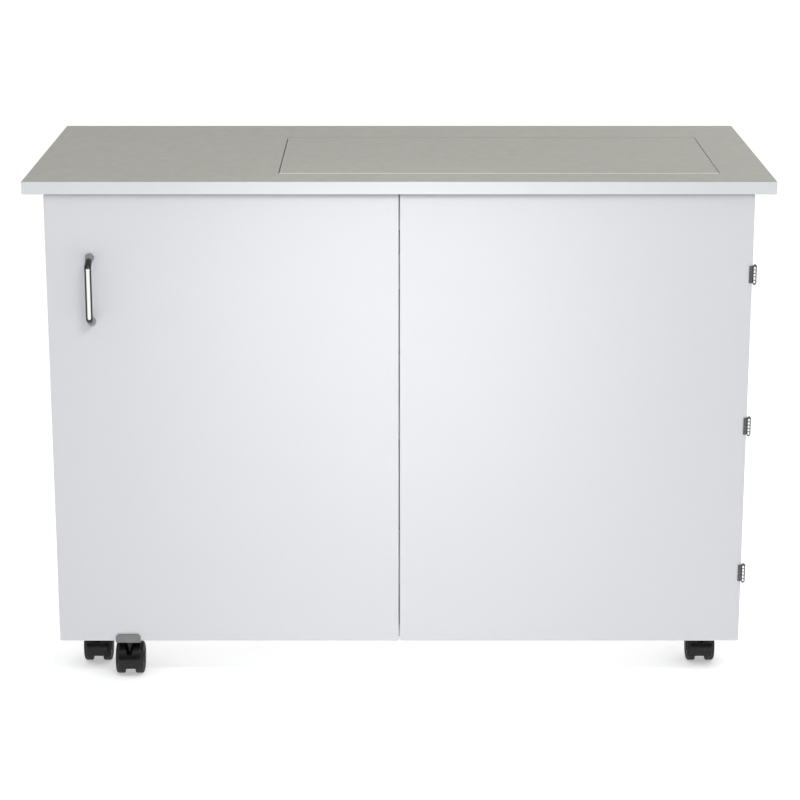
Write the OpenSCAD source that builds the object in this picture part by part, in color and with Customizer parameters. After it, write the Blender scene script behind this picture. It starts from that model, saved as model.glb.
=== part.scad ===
// Sewing cabinet on casters: a closed bi-fold front, a flush cover over the
// machine opening, and a motor lift with a lead screw below it.
// Millimetres, +X right, +Y to the back, +Z up, origin on the floor in the
// middle of the bounding box.

/* [Overall] */
// Height of the work surface above the floor
total_h = 780; // [760:1:800]
// Width of the tabletop
top_w = 1104; // [1060:1:1180]
// Depth of the tabletop
top_d = 520; // [510:1:560]
// Thickness of the tabletop board
top_t = 19; // [18:0.5:22]
// Thickness of the tabletop's edge banding
band_t = 2; // [1:0.5:3]

/* [Cabinet] */
// Width over the two side panels
body_w = 1044; // [1020:1:1050]
// Thickness of the side, bottom and rail boards
board_t = 18; // [15:1:19]
// Thickness of the back panel
back_t = 12; // [9:1:15]
// How far the tabletop stands over the doors, and over the back panel
overhang = 12; // [8:1:16]
// Height of the front rail
rail_h = 60; // [50:1:70]

/* [Doors] */
// Thickness of the door panels
door_t = 18; // [18:1:19]
// Height of the doors' lower edge above the floor
door_z = 62; // [62:0.5:64]
// Gap between the doors and the tabletop
door_top_gap = 2; // [1.5:0.5:4]
// Gap at the centre seam
seam = 1.25; // [1:0.25:3]
// Height of the middle hinges
hinge_mid_z = 406; // [400:1:415]
// Distance from the middle hinges up and down to the others
hinge_step = 233; // [220:1:240]

/* [Machine opening] */
// Width of the finished opening
open_w = 657; // [620:1:660]
// Depth of the finished opening
open_d = 330; // [320:1:335]
// Distance of its middle from the tabletop's middle
open_x = 148.5; // [140:0.5:155]
// Distance from the tabletop's front edge
open_front = 69; // [66:1:75]
// Gap round the cover
cover_gap = 1.5; // [1:0.25:3]

/* [Lift] */
// Height of the platform's face when it is lowered
platform_z = 420; // [410:1:425]
// Size of the platform to each side of the lift's middle
platform_half = 320; // [300:1:320]
// Radius of the guide rods
rod_r = 8; // [7:0.5:9]
// Distance from the lead screw to each guide rod
rod_x = 200; // [180:1:205]
// Radius of the lead screw
screw_r = 7; // [6:0.5:8]

/* [Casters] */
// Mounting height of a caster
caster_h = 60; // [60:0.5:62]
// Radius of a wheel
wheel_r = 25; // [24:0.5:25]
// Distance from the kingpin back to the axle
trail = 11; // [10:0.5:12]
// Thickness of one wheel
wheel_w = 14; // [13:0.5:15]
// Width of the space between the two wheels
wheel_space = 17; // [16.5:0.5:18]

/* [Handle] */
// How far the handle stands out of the door
handle_reach = 30; // [28:1:34]
// Distance between the handle's screws
handle_pitch = 96; // [96:32:128]

/* [Hidden] */
$fn = 48;

white = [0.90, 0.91, 0.93];
top_grey = [0.70, 0.70, 0.68];
steel = [0.62, 0.63, 0.65];
zinc = [0.50, 0.51, 0.52];
chrome = [0.75, 0.76, 0.78];
black = [0.10, 0.10, 0.11];
bronze = [0.66, 0.52, 0.30];

// Running clearance of a shaft in its bore, and gap between parts that pass
run = 0.05;
pass_gap = 0.5;

// Depth positions: the handle in front and the tabletop's back edge are
// equally far from the origin
top_front = -top_d / 2 + (handle_reach - overhang) / 2;
top_back = top_front + top_d;
door_front = top_front + overhang;
door_back = door_front + door_t;
body_front = door_back + 2;
rail_front = door_back + 9;
body_back = top_back - overhang;
back_face = body_back - back_t;

// Heights
top_under = total_h - top_t;
door_top = top_under - door_top_gap;
door_h = door_top - door_z;
floor_board_top = caster_h + board_t;
side_x = body_w / 2;
inner_x = side_x - board_t;

// Machine opening
open_x0 = open_x - open_w / 2;
open_y0 = top_front + open_front;
open_y1 = open_y0 + open_d;
open_band = 1;
open_y = (open_y0 + open_y1) / 2;
tab_t = 2;

// Hinges at the side: the pin stands just off the door's front corner
side_pin_x = side_x + 3.2;
side_pin_y = door_front - 0.8;
side_barrel_r = 3;
side_leaf_t = 1.2;
side_barrel_h = 26;
pin_r = 1.2;
knuckles = 5;
hinge_screw_z = 6;

// Hinges at the seam: the pin stands behind the doors' back faces
fold_pin_y = door_back + 4;
fold_barrel_r = 3.8;
fold_leaf_t = 1.5;
fold_leaf_w = 26;
fold_barrel_h = 50;
knuckle_gap = 0.3;

hinge_zs = [hinge_mid_z - hinge_step, hinge_mid_z, hinge_mid_z + hinge_step];

// Casters
plate_t = 2;
axle_r = 3;
kingpin_r = 4;
caster_x = 473;
caster_front_y = top_front + 85;
caster_back_y = body_back - 62;
door_caster_x = -417;
door_caster_y = door_front + 18;
plate_half = 21;
plate_hole = 16;

// Handle
handle_x = -457;
handle_z = 616;
handle_r = 5.2;

// Lift
lift_y = back_face - 59;
lift_plate_t = 3;
plate_front = back_face - lift_plate_t;
carriage_y = lift_y - 23;
carriage_t = 3;
carriage_z0 = platform_z - 132;
carriage_z1 = platform_z - 9;
bush_h = 28;
top_block_z = top_under - 20;
top_block_h = 18;
platform_t = 15;
platform_d = open_d - 12;
arm_x = 150;
arm_t = 4;
arm_w = 30;
arm_front = open_y - platform_d / 2 + 40;

// Electrics
box_x0 = 394;
box_w = 98;
box_d = 40;
box_z0 = 560;
box_h = 90;
inlet_x = 443;
inlet_z = 605;
switch_x = 430;
switch_w = 60;
switch_y0 = rail_front + 2;
switch_d = 24;
switch_h = 24;
switch_z0 = top_under - rail_h - switch_h;
rocker_w = 26;
rocker_pin_y = switch_y0 + 3;
rocker_z = switch_z0 + switch_h / 2;

// A box from its lowest corner to its highest corner
module block(low, high) {
    translate(low) cube(high - low);
}

// A cylinder along +Y from y0 to y1
module rod_y(x, z, r, y0, y1) {
    translate([x, y0, z]) rotate([-90, 0, 0]) cylinder(r = r, h = y1 - y0);
}

// A cylinder along +X from x0 to x1
module rod_x_dir(y, z, r, x0, x1) {
    translate([x0, y, z]) rotate([0, 90, 0]) cylinder(r = r, h = x1 - x0);
}

// Four strips round a rectangle, butted at the corners
module strips(x0, y0, x1, y1, t, z0, z1) {
    block([x0, y0, z0], [x1, y0 + t, z1]);
    block([x0, y1 - t, z0], [x1, y1, z1]);
    block([x0, y0 + t, z0], [x0 + t, y1 - t, z1]);
    block([x1 - t, y0 + t, z0], [x1, y1 - t, z1]);
}

shank = 1.75;
bolt_shank = 2;

// A screw: a round head on a surface at the origin, and a shank along -Z
module screw(length = 12, head_r = 3.6) {
    cylinder(r = head_r, h = 1.8, $fn = 24);
    translate([0, 0, -length]) cylinder(r = shank, h = length + 0.5, $fn = 16);
}

// A bolt with a socket in its taller head, placed in the same way
module bolt(length) {
    difference() {
        union() {
            cylinder(r = 3.5, h = 4, $fn = 24);
            translate([0, 0, -length]) cylinder(r = bolt_shank, h = length + 0.5, $fn = 16);
        }
        translate([0, 0, 2]) cylinder(r = 1.7, h = 3, $fn = 6);
    }
}

// The hole that a screw or bolt leaves in what it enters
module hole_for(length = 12, r = shank) {
    translate([0, 0, -length - 0.3]) cylinder(r = r + run, h = length + 1.3, $fn = 16);
}

// ---- Tabletop ----

module tabletop() {
    color(top_grey)
    difference() {
        block([-top_w / 2 + band_t, top_front + band_t, top_under],
              [top_w / 2 - band_t, top_back - band_t, total_h]);
        block([open_x0 - open_band, open_y0 - open_band, top_under - 1],
              [open_x0 + open_w + open_band, open_y1 + open_band, total_h + 1]);
        at_tab_screws() hole_for();
        at_bracket_screws_up() hole_for();
    }
}

module tabletop_edge_bands() {
    color(white)
    {
        strips(-top_w / 2, top_front, top_w / 2, top_back, band_t, top_under, total_h);
        strips(open_x0 - open_band, open_y0 - open_band, open_x0 + open_w + open_band,
               open_y1 + open_band, open_band, top_under, total_h);
    }
}

module machine_cover() {
    inset = cover_gap + open_band;
    color(top_grey)
    block([open_x0 + inset, open_y0 + inset, top_under],
          [open_x0 + open_w - inset, open_y1 - inset, total_h]);
}

module cover_edge_bands() {
    color(white)
    strips(open_x0 + cover_gap, open_y0 + cover_gap, open_x0 + open_w - cover_gap,
           open_y1 - cover_gap, open_band, top_under, total_h);
}

// Tabs under the tabletop that carry the cover: [x, y on the opening's edge, turn]
tab_places = [
    for (x = [open_x0 + 90, open_x0 + open_w - 90], end = [0, 1])
        [x, end == 0 ? open_y0 : open_y1, end == 0 ? 0 : 180],
    [open_x0, open_y, -90],
    [open_x0 + open_w, open_y, 90]
];
tab_under = 11.5;
tab_reach = 14;
tab_w = 34;

module cover_support_tabs() {
    color(zinc)
    for (p = tab_places)
        translate([p[0], p[1], top_under - tab_t]) rotate([0, 0, p[2]])
        difference() {
            translate([-tab_w / 2, -tab_under, 0]) cube([tab_w, tab_under + tab_reach, tab_t]);
            for (side = [-1, 1])
                translate([side * 10, -tab_under / 2, -1]) cylinder(r = 2, h = tab_t + 2);
        }
}

// ---- Carcass ----

module side_panel(x0) {
    difference() {
        block([x0, body_front, caster_h], [x0 + board_t, body_back, top_under]);
        at_bracket_screws_side() hole_for();
        cam_bolts(run);
    }
}

module left_side_panel() {
    color(white) side_panel(-side_x);
}

module right_side_panel() {
    color(white)
    difference() {
        side_panel(inner_x);
        at_hinge_screws() hole_for(11);
    }
}

cam_r = 7.5;
cam_depth = 12.5;
cam_inset = 24;
cam_ys = [-140, 150];
cam_bolt_r = 3;

// Bolts from the cams into the side panels, thickened by `grow` to cut their holes
module cam_bolts(grow = 0) {
    x_near = inner_x - cam_inset + cam_r + 0.2 - 10 * grow;
    x_far = inner_x + 10 + grow;
    for (side = [-1, 1]) mirror([side < 0 ? 1 : 0, 0, 0]) {
        for (y = cam_ys)
            rod_x_dir(y, caster_h + board_t / 2, cam_bolt_r + grow, x_near, x_far);
        rod_x_dir(rail_front + board_t / 2, top_under - rail_h / 2, cam_bolt_r + grow,
                  x_near, x_far);
    }
}

module bottom_panel() {
    color(white)
    difference() {
        block([-inner_x, rail_front, caster_h], [inner_x, back_face, floor_board_top]);
        for (side = [-1, 1], y = cam_ys)
            translate([side * (inner_x - cam_inset), y, floor_board_top - cam_depth])
            cylinder(r = cam_r + run, h = cam_depth + 1);
        cam_bolts(run);
        at_caster_screws() hole_for(14);
    }
}

module front_rail() {
    color(white)
    difference() {
        block([-inner_x, rail_front, top_under - rail_h],
              [inner_x, rail_front + board_t, top_under]);
        for (side = [-1, 1])
            rod_y(side * (inner_x - cam_inset), top_under - rail_h / 2, cam_r + run,
                  rail_front + board_t - cam_depth, rail_front + board_t + 1);
        cam_bolts(run);
        at_switch_screws() hole_for(switch_h + 10);
    }
}

// A cam lock: a disc with a cross slot, facing +Z
module cam() {
    difference() {
        cylinder(r = cam_r, h = cam_depth - 0.5);
        for (turn = [0, 90])
            rotate([0, 0, turn]) translate([-4, -0.7, cam_depth - 3]) cube([8, 1.4, 4]);
    }
}

module cam_locks() {
    for (side = [-1, 1], y = cam_ys)
        translate([side * (inner_x - cam_inset), y, floor_board_top - cam_depth]) cam();
    for (side = [-1, 1])
        translate([side * (inner_x - cam_inset), rail_front + board_t - cam_depth,
                   top_under - rail_h / 2])
        rotate([-90, 0, 0]) cam();
}

inlet_body = [26, 30, 46];

module back_panel() {
    color(white)
    difference() {
        block([-inner_x, back_face, caster_h], [inner_x, body_back, top_under]);
        translate([inlet_x - inlet_body[0] / 2 - 0.5, back_face - 1,
                   inlet_z - inlet_body[2] / 2 - 0.5])
        cube([inlet_body[0] + 1, back_t + 2, inlet_body[2] + 1]);
        at_plate_screws() hole_for();
        at_lift_bolts() translate([0, 0, -lift_plate_t]) hole_for(8, bolt_shank);
        at_inlet_screws() hole_for(10);
        at_box_screws() hole_for(9);
    }
}

bracket_size = 25;
bracket_ys = [-120, 20, 200];

// An angle bracket under the tabletop, on the side panel that faces +X from x
module top_bracket(y) {
    difference() {
        union() {
            translate([0, y - 15, -bracket_size]) cube([2, 30, bracket_size]);
            translate([0, y - 15, -2]) cube([bracket_size, 30, 2]);
        }
        translate([15, y, -3]) cylinder(r = 2.2, h = 4);
        translate([-1, y, -16]) rotate([0, 90, 0]) cylinder(r = 2.2, h = 4);
    }
}

module top_brackets() {
    color(zinc)
    for (y = bracket_ys) {
        translate([-inner_x, 0, top_under]) top_bracket(y);
        translate([inner_x, 0, top_under]) mirror([1, 0, 0]) top_bracket(y);
    }
}

// ---- Hinges at the right side ----

knuckle_h = side_barrel_h / knuckles;

// The knuckles whose number is odd (1) or even (0), with the pin's bore
module side_knuckles(odd) {
    for (i = [0 : knuckles - 1])
        if (i % 2 == odd)
            translate([0, 0, i * knuckle_h + 0.1]) cylinder(r = side_barrel_r, h = knuckle_h - 0.2);
}

module side_hinge_frame_leaf() {
    leaf_back = body_front + 22 - side_pin_y;
    leaf_x = side_x + 0.1 - side_pin_x;
    difference() {
        union() {
            side_knuckles(0);
            for (i = [0 : 2 : knuckles - 1])
                translate([leaf_x, 0, i * knuckle_h + 0.1])
                cube([side_leaf_t, 8, knuckle_h - 0.2]);
            translate([leaf_x, 3.6, 0]) cube([side_leaf_t, leaf_back - 3.6, side_barrel_h]);
        }
        translate([0, 0, -1]) cylinder(r = pin_r + run, h = side_barrel_h + 2);
        for (dz = [-hinge_screw_z, hinge_screw_z])
            translate([leaf_x - 1, leaf_back - 9, side_barrel_h / 2 + dz]) rotate([0, 90, 0])
            cylinder(r = 1.9, h = 4);
    }
}

module side_hinge_door_leaf() {
    lip_x = side_x - 5 - side_pin_x;
    edge_x = side_x - 1.4 - side_pin_x;
    face_y = door_front - side_pin_y;
    difference() {
        union() {
            side_knuckles(1);
            for (i = [1 : 2 : knuckles - 1])
                translate([lip_x, face_y - side_leaf_t, i * knuckle_h + 0.1])
                cube([-lip_x, side_leaf_t, knuckle_h - 0.2]);
            translate([lip_x, face_y - side_leaf_t, 0])
            cube([4.8, side_leaf_t, side_barrel_h]);
            translate([edge_x, face_y - 0.1, 0]) cube([side_leaf_t, door_t - 2, side_barrel_h]);
        }
        translate([0, 0, -1]) cylinder(r = pin_r + run, h = side_barrel_h + 2);
    }
}

module side_hinge_pin() {
    translate([0, 0, -0.6]) cylinder(r = pin_r, h = side_barrel_h + 1.2);
    for (end = [0, 1])
        translate([0, 0, end * side_barrel_h]) mirror([0, 0, 1 - end]) translate([0, 0, 0.1])
        cylinder(r1 = side_barrel_r, r2 = 0.8, h = 2.6);
}

module at_side_hinges() {
    for (z = hinge_zs) translate([side_pin_x, side_pin_y, z - side_barrel_h / 2]) children();
}

module side_hinge_frame_leaves() {
    color(steel) at_side_hinges() side_hinge_frame_leaf();
}

module side_hinge_door_leaves() {
    color(steel) at_side_hinges() side_hinge_door_leaf();
}

module side_hinge_pins() {
    color(steel) at_side_hinges() side_hinge_pin();
}

// ---- Doors ----

module right_door_panel() {
    color(white)
    difference() {
        block([seam / 2, door_front, door_z], [side_x, door_back, door_top]);
        for (z = hinge_zs)
            block([side_x - 1.5, door_front - 1, z - side_barrel_h / 2 - 0.2],
                  [side_x + 1, door_front + door_t - 1.9, z + side_barrel_h / 2 + 0.2]);
        at_fold_screws(1) hole_for(10);
    }
}

module left_door_panel() {
    color(white)
    difference() {
        block([-side_x, door_front, door_z], [-seam / 2, door_back, door_top]);
        at_fold_screws(-1) hole_for(10);
        at_handle_screws() hole_for(door_t + 1);
        at_door_bracket_screws() hole_for(10);
    }
}

fold_knuckle_h = fold_barrel_h / knuckles;

// One leaf of a seam hinge, reaching to +X; the other is its mirror image
module fold_leaf(odd) {
    face_y = door_back - fold_pin_y;
    difference() {
        union() {
            for (i = [0 : knuckles - 1])
                if (i % 2 == odd)
                    translate([0, 0, i * fold_knuckle_h + knuckle_gap / 2]) {
                        cylinder(r = fold_barrel_r, h = fold_knuckle_h - knuckle_gap);
                        translate([0, face_y, 0])
                        cube([6, fold_leaf_t, fold_knuckle_h - knuckle_gap]);
                    }
            translate([4.5, face_y, 0]) cube([fold_leaf_w, fold_leaf_t, fold_barrel_h]);
        }
        translate([0, 0, -1]) cylinder(r = 2 + run, h = fold_barrel_h + 2);
        translate([-1.5, face_y - 1, -1]) cube([3, 1.2, fold_barrel_h + 2]);
        for (z = [9, fold_barrel_h / 2, fold_barrel_h - 9])
            rod_y(20, z, 2, face_y - 1, face_y + fold_leaf_t + 1);
    }
}

module at_fold_hinges() {
    for (z = hinge_zs) translate([0, fold_pin_y, z - fold_barrel_h / 2]) children();
}

module center_hinge_right_leaves() {
    color(steel) at_fold_hinges() fold_leaf(0);
}

module center_hinge_left_leaves() {
    color(steel) at_fold_hinges() mirror([1, 0, 0]) fold_leaf(1);
}

module center_hinge_pins() {
    color(steel)
    at_fold_hinges() {
        translate([0, 0, -0.6]) cylinder(r = 2, h = fold_barrel_h + 1.2);
        for (z = [-1.3, fold_barrel_h + 0.1]) translate([0, 0, z]) cylinder(r = 3, h = 1.2);
    }
}

// ---- Handle ----

bar_half = handle_pitch / 2 - 11;
foot_half = 6.9;
foot_half_z = 7.5;
bar_y = door_front - handle_reach + handle_r;

module door_handle() {
    color(chrome)
    difference() {
        translate([handle_x, 0, handle_z]) {
            hull()
                for (end = [-1, 1])
                    translate([0, bar_y, end * bar_half]) sphere(r = handle_r, $fn = 24);
            for (end = [-1, 1])
                hull() {
                    translate([0, bar_y, end * bar_half]) sphere(r = handle_r, $fn = 24);
                    translate([-foot_half, door_front - 1.5, end * handle_pitch / 2 - foot_half_z])
                    cube([2 * foot_half, 1.5, 2 * foot_half_z]);
                }
        }
        at_handle_screws() hole_for(door_t + 6);
    }
}

// The screws of the seam hinges' leaves, on the side the caller gives
module at_fold_screws(side) {
    for (z = hinge_zs, dz = [-16, 0, 16])
        translate([side * 20, door_back + fold_leaf_t, z + dz]) rotate([-90, 0, 0]) children();
}

module at_handle_screws() {
    for (end = [-1, 1])
        translate([handle_x, door_back, handle_z + end * handle_pitch / 2])
        rotate([-90, 0, 0]) children();
}

module at_door_bracket_screws() {
    for (x = [-13, 13])
        translate([bracket_x + x, door_back + bracket_t, door_z + 5.5]) rotate([-90, 0, 0])
        children();
}

module right_door_screws() {
    color(zinc) at_fold_screws(1) screw(10, 3.2);
}

module left_door_screws() {
    color(zinc) {
        at_handle_screws() screw(door_t + 6);
        at_fold_screws(-1) screw(10, 3.2);
        at_door_bracket_screws() screw(10, 3);
    }
}

// ---- Casters ----

// Fixed plate with its riveted kingpin; the mounting face is at z = caster_h
module caster_plate() {
    difference() {
        union() {
            translate([-plate_half, -plate_half, caster_h - plate_t])
            cube([plate_half * 2, plate_half * 2, plate_t]);
            kingpin();
        }
        for (x = [-1, 1], y = [-1, 1])
            translate([x * plate_hole, y * plate_hole, caster_h - plate_t - 1])
            cylinder(r = 2.2, h = plate_t + 2);
    }
}

kingpin_z = 34;
module kingpin(top = caster_h - 0.5) {
    translate([0, 0, kingpin_z]) cylinder(r = kingpin_r, h = top - kingpin_z);
}

hood_r = wheel_r + 3;
hood_half = 17.5;
hood_front_z = 12.5;
web_half = wheel_space / 2 - 0.75;
boss_top = caster_h - plate_t - pass_gap;

// Swivelling hood with its axle; the kingpin is on the Z axis, the axle is behind it
module caster_hood() {
    difference() {
        union() {
            intersection() {
                difference() {
                    rod_x_dir(trail, wheel_r, hood_r, -hood_half, hood_half);
                    rod_x_dir(trail, wheel_r, wheel_r + 1, -hood_half - 1, hood_half + 1);
                }
                union() {
                    block([-hood_half, trail - hood_r - 1, hood_front_z],
                          [hood_half, trail, wheel_r + hood_r + 1]);
                    block([-hood_half, trail - 1, wheel_r + 9],
                          [hood_half, trail + hood_r + 1, wheel_r + hood_r + 1]);
                }
            }
            intersection() {
                rod_x_dir(trail, wheel_r, hood_r - 0.5, -web_half, web_half);
                block([-web_half, trail - hood_r, hood_front_z],
                      [web_half, trail + hood_r, wheel_r + hood_r]);
            }
            translate([0, 0, wheel_r + 8]) cylinder(r = 7.6, h = boss_top - wheel_r - 8);
            translate([0, 0, boss_top - 3]) cylinder(r = 12, h = 3);
        }
        translate([0, 0, kingpin_z - 1]) cylinder(r = kingpin_r + run, h = caster_h);
        rod_x_dir(trail, wheel_r, axle_r + run, -hood_half, hood_half);
    }
    rod_x_dir(trail, wheel_r, axle_r, -wheel_space / 2 - 11, wheel_space / 2 + 11);
}

tread_round = 4;

// Outline of half a wheel: radius against distance from its inner face
function wheel_outline() = concat(
    [[axle_r + run, 0], [wheel_r - 1, 0], [wheel_r, 1]],
    [for (a = [0 : 15 : 90])
        [wheel_r - tread_round + tread_round * cos(a),
         wheel_w - tread_round - 1 + tread_round * sin(a)]],
    [[9, wheel_w], [0, wheel_w], [0, wheel_w - 3], [axle_r + run, wheel_w - 3]]);

module caster_wheel(side) {
    translate([side * wheel_space / 2, trail, wheel_r]) rotate([0, side * 90, 0])
    rotate_extrude($fn = 64) polygon(wheel_outline());
}

module at_caster(place) {
    translate([place[0], place[1], 0]) children();
}

front_left = [-caster_x, caster_front_y];
front_right = [caster_x, caster_front_y];
rear_left = [-caster_x, caster_back_y];
rear_right = [caster_x, caster_back_y];
door_place = [door_caster_x, door_caster_y];

module caster_plates() {
    color(zinc)
    for (p = [front_left, front_right, rear_left, rear_right]) at_caster(p) caster_plate();
}

module hood_at(place) {
    color(black) at_caster(place) caster_hood();
}

module wheel_at(place, side) {
    color(black) at_caster(place) caster_wheel(side);
}

bracket_x = -417;
bracket_half = 19;
bracket_lip = 13.5;
bracket_t = 2;

// Channel round the door's lower edge, with the door caster's kingpin
module door_caster_bracket() {
    lip = [[-bracket_half, 0], [bracket_half, 0], [bracket_half, bracket_lip - 4],
           [bracket_half - 4, bracket_lip], [-bracket_half + 4, bracket_lip],
           [-bracket_half, bracket_lip - 4]];
    color(zinc) {
        difference() {
            union() {
                block([bracket_x - bracket_half, door_front - bracket_t, door_z - bracket_t],
                      [bracket_x + bracket_half, door_back + bracket_t, door_z]);
                block([door_caster_x - 12, door_back, door_z - bracket_t],
                      [door_caster_x + 12, door_caster_y + 7, door_z]);
                for (y = [door_front, door_back + bracket_t])
                    translate([bracket_x, y, door_z - bracket_t]) rotate([90, 0, 0])
                    linear_extrude(bracket_t) polygon(lip);
                at_caster(door_place) kingpin(door_z - 1);
            }
            for (x = [-13, 13])
                rod_y(bracket_x + x, door_z + 5.5, 2, door_back - 0.5, door_back + bracket_t + 1);
        }
    }
}

// ---- Lift ----

module lift_back_plate() {
    color(steel)
    difference() {
        block([open_x - 240, plate_front, floor_board_top + 4],
              [open_x + 240, back_face, top_under - 4]);
        at_plate_screws() hole_for();
        at_lift_bolts() hole_for(12, bolt_shank);
    }
}

// Screws through the back plate into the back panel
module at_plate_screws() {
    for (x = [-1, 1], z = [120, 420, 735])
        translate([open_x + x * 228, plate_front, z]) rotate([90, 0, 0]) children();
}

// Bolts through the rod blocks, the bearings and the gearbox, where they meet the plate
module at_lift_bolts() {
    for (x = [-14.5, 14.5]) {
        for (side = [-1, 1], z = [rod_z0 - 4, top_block_z])
            translate([open_x + side * rod_x + x, plate_front, z + top_block_h / 2])
            rotate([90, 0, 0]) children();
        for (z = [bearing_z0, top_block_z])
            translate([open_x + x, plate_front, z + bearing_h / 2]) rotate([90, 0, 0]) children();
        translate([open_x + x * 1.5, plate_front, gear_z0 + 9]) rotate([90, 0, 0]) children();
    }
}

block_depth = plate_front - lift_y + 17;

rod_z0 = floor_board_top + 18;

module guide_rods() {
    color(chrome)
    for (side = [-1, 1])
        translate([open_x + side * rod_x, lift_y, rod_z0])
        cylinder(r = rod_r, h = top_block_z + top_block_h - 2 - rod_z0);
}

module rod_blocks() {
    color(zinc)
    for (side = [-1, 1], z = [rod_z0 - 4, top_block_z])
        difference() {
            block([open_x + side * rod_x - 21, lift_y - 17, z],
                  [open_x + side * rod_x + 21, plate_front, z + top_block_h]);
            translate([open_x + side * rod_x, lift_y, z - 1])
            cylinder(r = rod_r + run, h = top_block_h + 2);
            at_lift_bolts() long_hole();
        }
}

// The hole of a long bolt, from its head's face to the back plate
module long_hole() {
    translate([0, 0, -1]) cylinder(r = bolt_shank + run, h = block_depth + 20, $fn = 16);
}

motor_z0 = floor_board_top + 6;
motor_h = 86;
gear_h = 30;
gear_z0 = motor_z0 + motor_h;
shaft_r = 4;
coupling_z0 = gear_z0 + gear_h + 3;
coupling_h = 28;
screw_z0 = coupling_z0 + coupling_h / 2;
bearing_z0 = coupling_z0 + coupling_h + 5;
bearing_h = 16;

module lift_motor() {
    color(black)
    translate([open_x, lift_y, motor_z0]) {
        cylinder(r = 23, h = motor_h);
        translate([19, -8, 10]) cube([8, 16, 14]);
    }
}

module lift_gearbox() {
    color(zinc) {
        difference() {
            union() {
                block([open_x - 28, lift_y - 17, gear_z0], [open_x + 28, plate_front, gear_z0 + gear_h]);
                block([open_x - 16, lift_y - 26, gear_z0], [open_x + 16, lift_y, gear_z0 + gear_h]);
                translate([open_x, lift_y, gear_z0 + gear_h - 1]) cylinder(r = 14, h = 3);
            }
            translate([open_x, lift_y, gear_z0 + gear_h - 12]) cylinder(r = shaft_r + run, h = 20);
            at_lift_bolts() long_hole();
        }
    }
}

module screw_coupling() {
    color(steel)
    translate([open_x, lift_y, 0]) {
        difference() {
            translate([0, 0, coupling_z0]) cylinder(r = 12, h = coupling_h);
            translate([0, 0, screw_z0]) cylinder(r = screw_r, h = coupling_h);
        }
        translate([0, 0, gear_z0 + gear_h - 10]) cylinder(r = shaft_r, h = coupling_z0 - gear_z0 - gear_h + 11);
    }
}

module lead_screw() {
    color(steel)
    translate([open_x, lift_y, screw_z0])
    cylinder(r = screw_r, h = top_block_z + top_block_h - 4 - screw_z0);
}

module screw_bearings() {
    color(zinc)
    for (z = [bearing_z0, top_block_z])
        difference() {
            block([open_x - 20, lift_y - 17, z], [open_x + 20, plate_front, z + bearing_h]);
            translate([open_x, lift_y, z - 1]) cylinder(r = screw_r + run, h = bearing_h + 2);
            at_lift_bolts() long_hole();
        }
}

nut_h = 40;
nut_z0 = (carriage_z0 + carriage_z1 - nut_h) / 2;

// Bolts through the carriage plate into the bushes and the nut
module at_bush_bolts() {
    for (x = [-13, 13]) {
        for (side = [-1, 1], z = [carriage_z0 + 2, carriage_z1 - bush_h])
            translate([open_x + side * rod_x + x, carriage_y - carriage_t, z + bush_h / 2])
            rotate([90, 0, 0]) children();
        for (z = [-13, 13])
            translate([open_x + x * 0.95, carriage_y - carriage_t, nut_z0 + nut_h / 2 + z])
            rotate([90, 0, 0]) children();
    }
}

// Bolts through the arms' legs into the carriage plate
module at_leg_bolts() {
    for (side = [-1, 1], x = [-9, 9], z = [carriage_z0 + 16, platform_z - platform_t - 20])
        translate([open_x + side * arm_x + x, carriage_y - carriage_t - arm_t, z])
        rotate([90, 0, 0]) children();
}

// Screws through the arms into the platform
module at_platform_screws() {
    for (side = [-1, 1], x = [-9, 9], y = [arm_front + 14, arm_front + 170])
        translate([open_x + side * arm_x + x, y, platform_z - platform_t - arm_t])
        rotate([180, 0, 0]) children();
}

module carriage_bolts() {
    color(zinc) {
        at_bush_bolts() bolt(13);
        at_leg_bolts() bolt(arm_t + carriage_t);
        at_platform_screws() screw(14);
    }
}

module carriage_plate() {
    color(steel)
    difference() {
        block([open_x - 230, carriage_y - carriage_t, carriage_z0],
              [open_x + 230, carriage_y, carriage_z1]);
        at_bush_bolts() hole_for(13, bolt_shank);
        at_leg_bolts() hole_for(arm_t + carriage_t, bolt_shank);
    }
}

module carriage_bushes() {
    color(black)
    for (side = [-1, 1], z = [carriage_z0 + 2, carriage_z1 - bush_h])
        difference() {
            block([open_x + side * rod_x - 20, carriage_y, z],
                  [open_x + side * rod_x + 20, lift_y + 18, z + bush_h]);
            translate([open_x + side * rod_x, lift_y, z - 1]) cylinder(r = rod_r + run, h = bush_h + 2);
            at_bush_bolts() hole_for(13, bolt_shank);
        }
}

module lead_nut() {
    color(bronze)
    difference() {
        block([open_x - 17, carriage_y, nut_z0], [open_x + 17, lift_y + 15, nut_z0 + nut_h]);
        translate([open_x, lift_y, nut_z0 - 1]) cylinder(r = screw_r + run, h = nut_h + 2);
        at_bush_bolts() hole_for(13, bolt_shank);
    }
}

module platform_arms() {
    arm_z = platform_z - platform_t;
    arm_back = carriage_y - carriage_t;
    color(steel)
    difference() {
        for (side = [-1, 1])
            translate([open_x + side * arm_x, 0, 0]) {
                block([-arm_w / 2, arm_front, arm_z - arm_t], [arm_w / 2, arm_back, arm_z]);
                block([-arm_w / 2, arm_back - arm_t, carriage_z0 + 4],
                      [arm_w / 2, arm_back, arm_z - arm_t]);
                translate([-arm_t / 2, 0, 0]) rotate([90, 0, 90]) linear_extrude(arm_t)
                    polygon([[arm_front + 30, arm_z - arm_t], [arm_back - arm_t, arm_z - arm_t],
                             [arm_back - arm_t, carriage_z0 + 20]]);
            }
        at_leg_bolts() hole_for(arm_t + carriage_t, bolt_shank);
        at_platform_screws() hole_for(14);
    }
}

module lift_platform() {
    color(white)
    difference() {
        block([open_x - platform_half, open_y - platform_d / 2, platform_z - platform_t],
              [open_x + platform_half, open_y + platform_d / 2, platform_z]);
        at_platform_screws() hole_for(14);
    }
}

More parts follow.
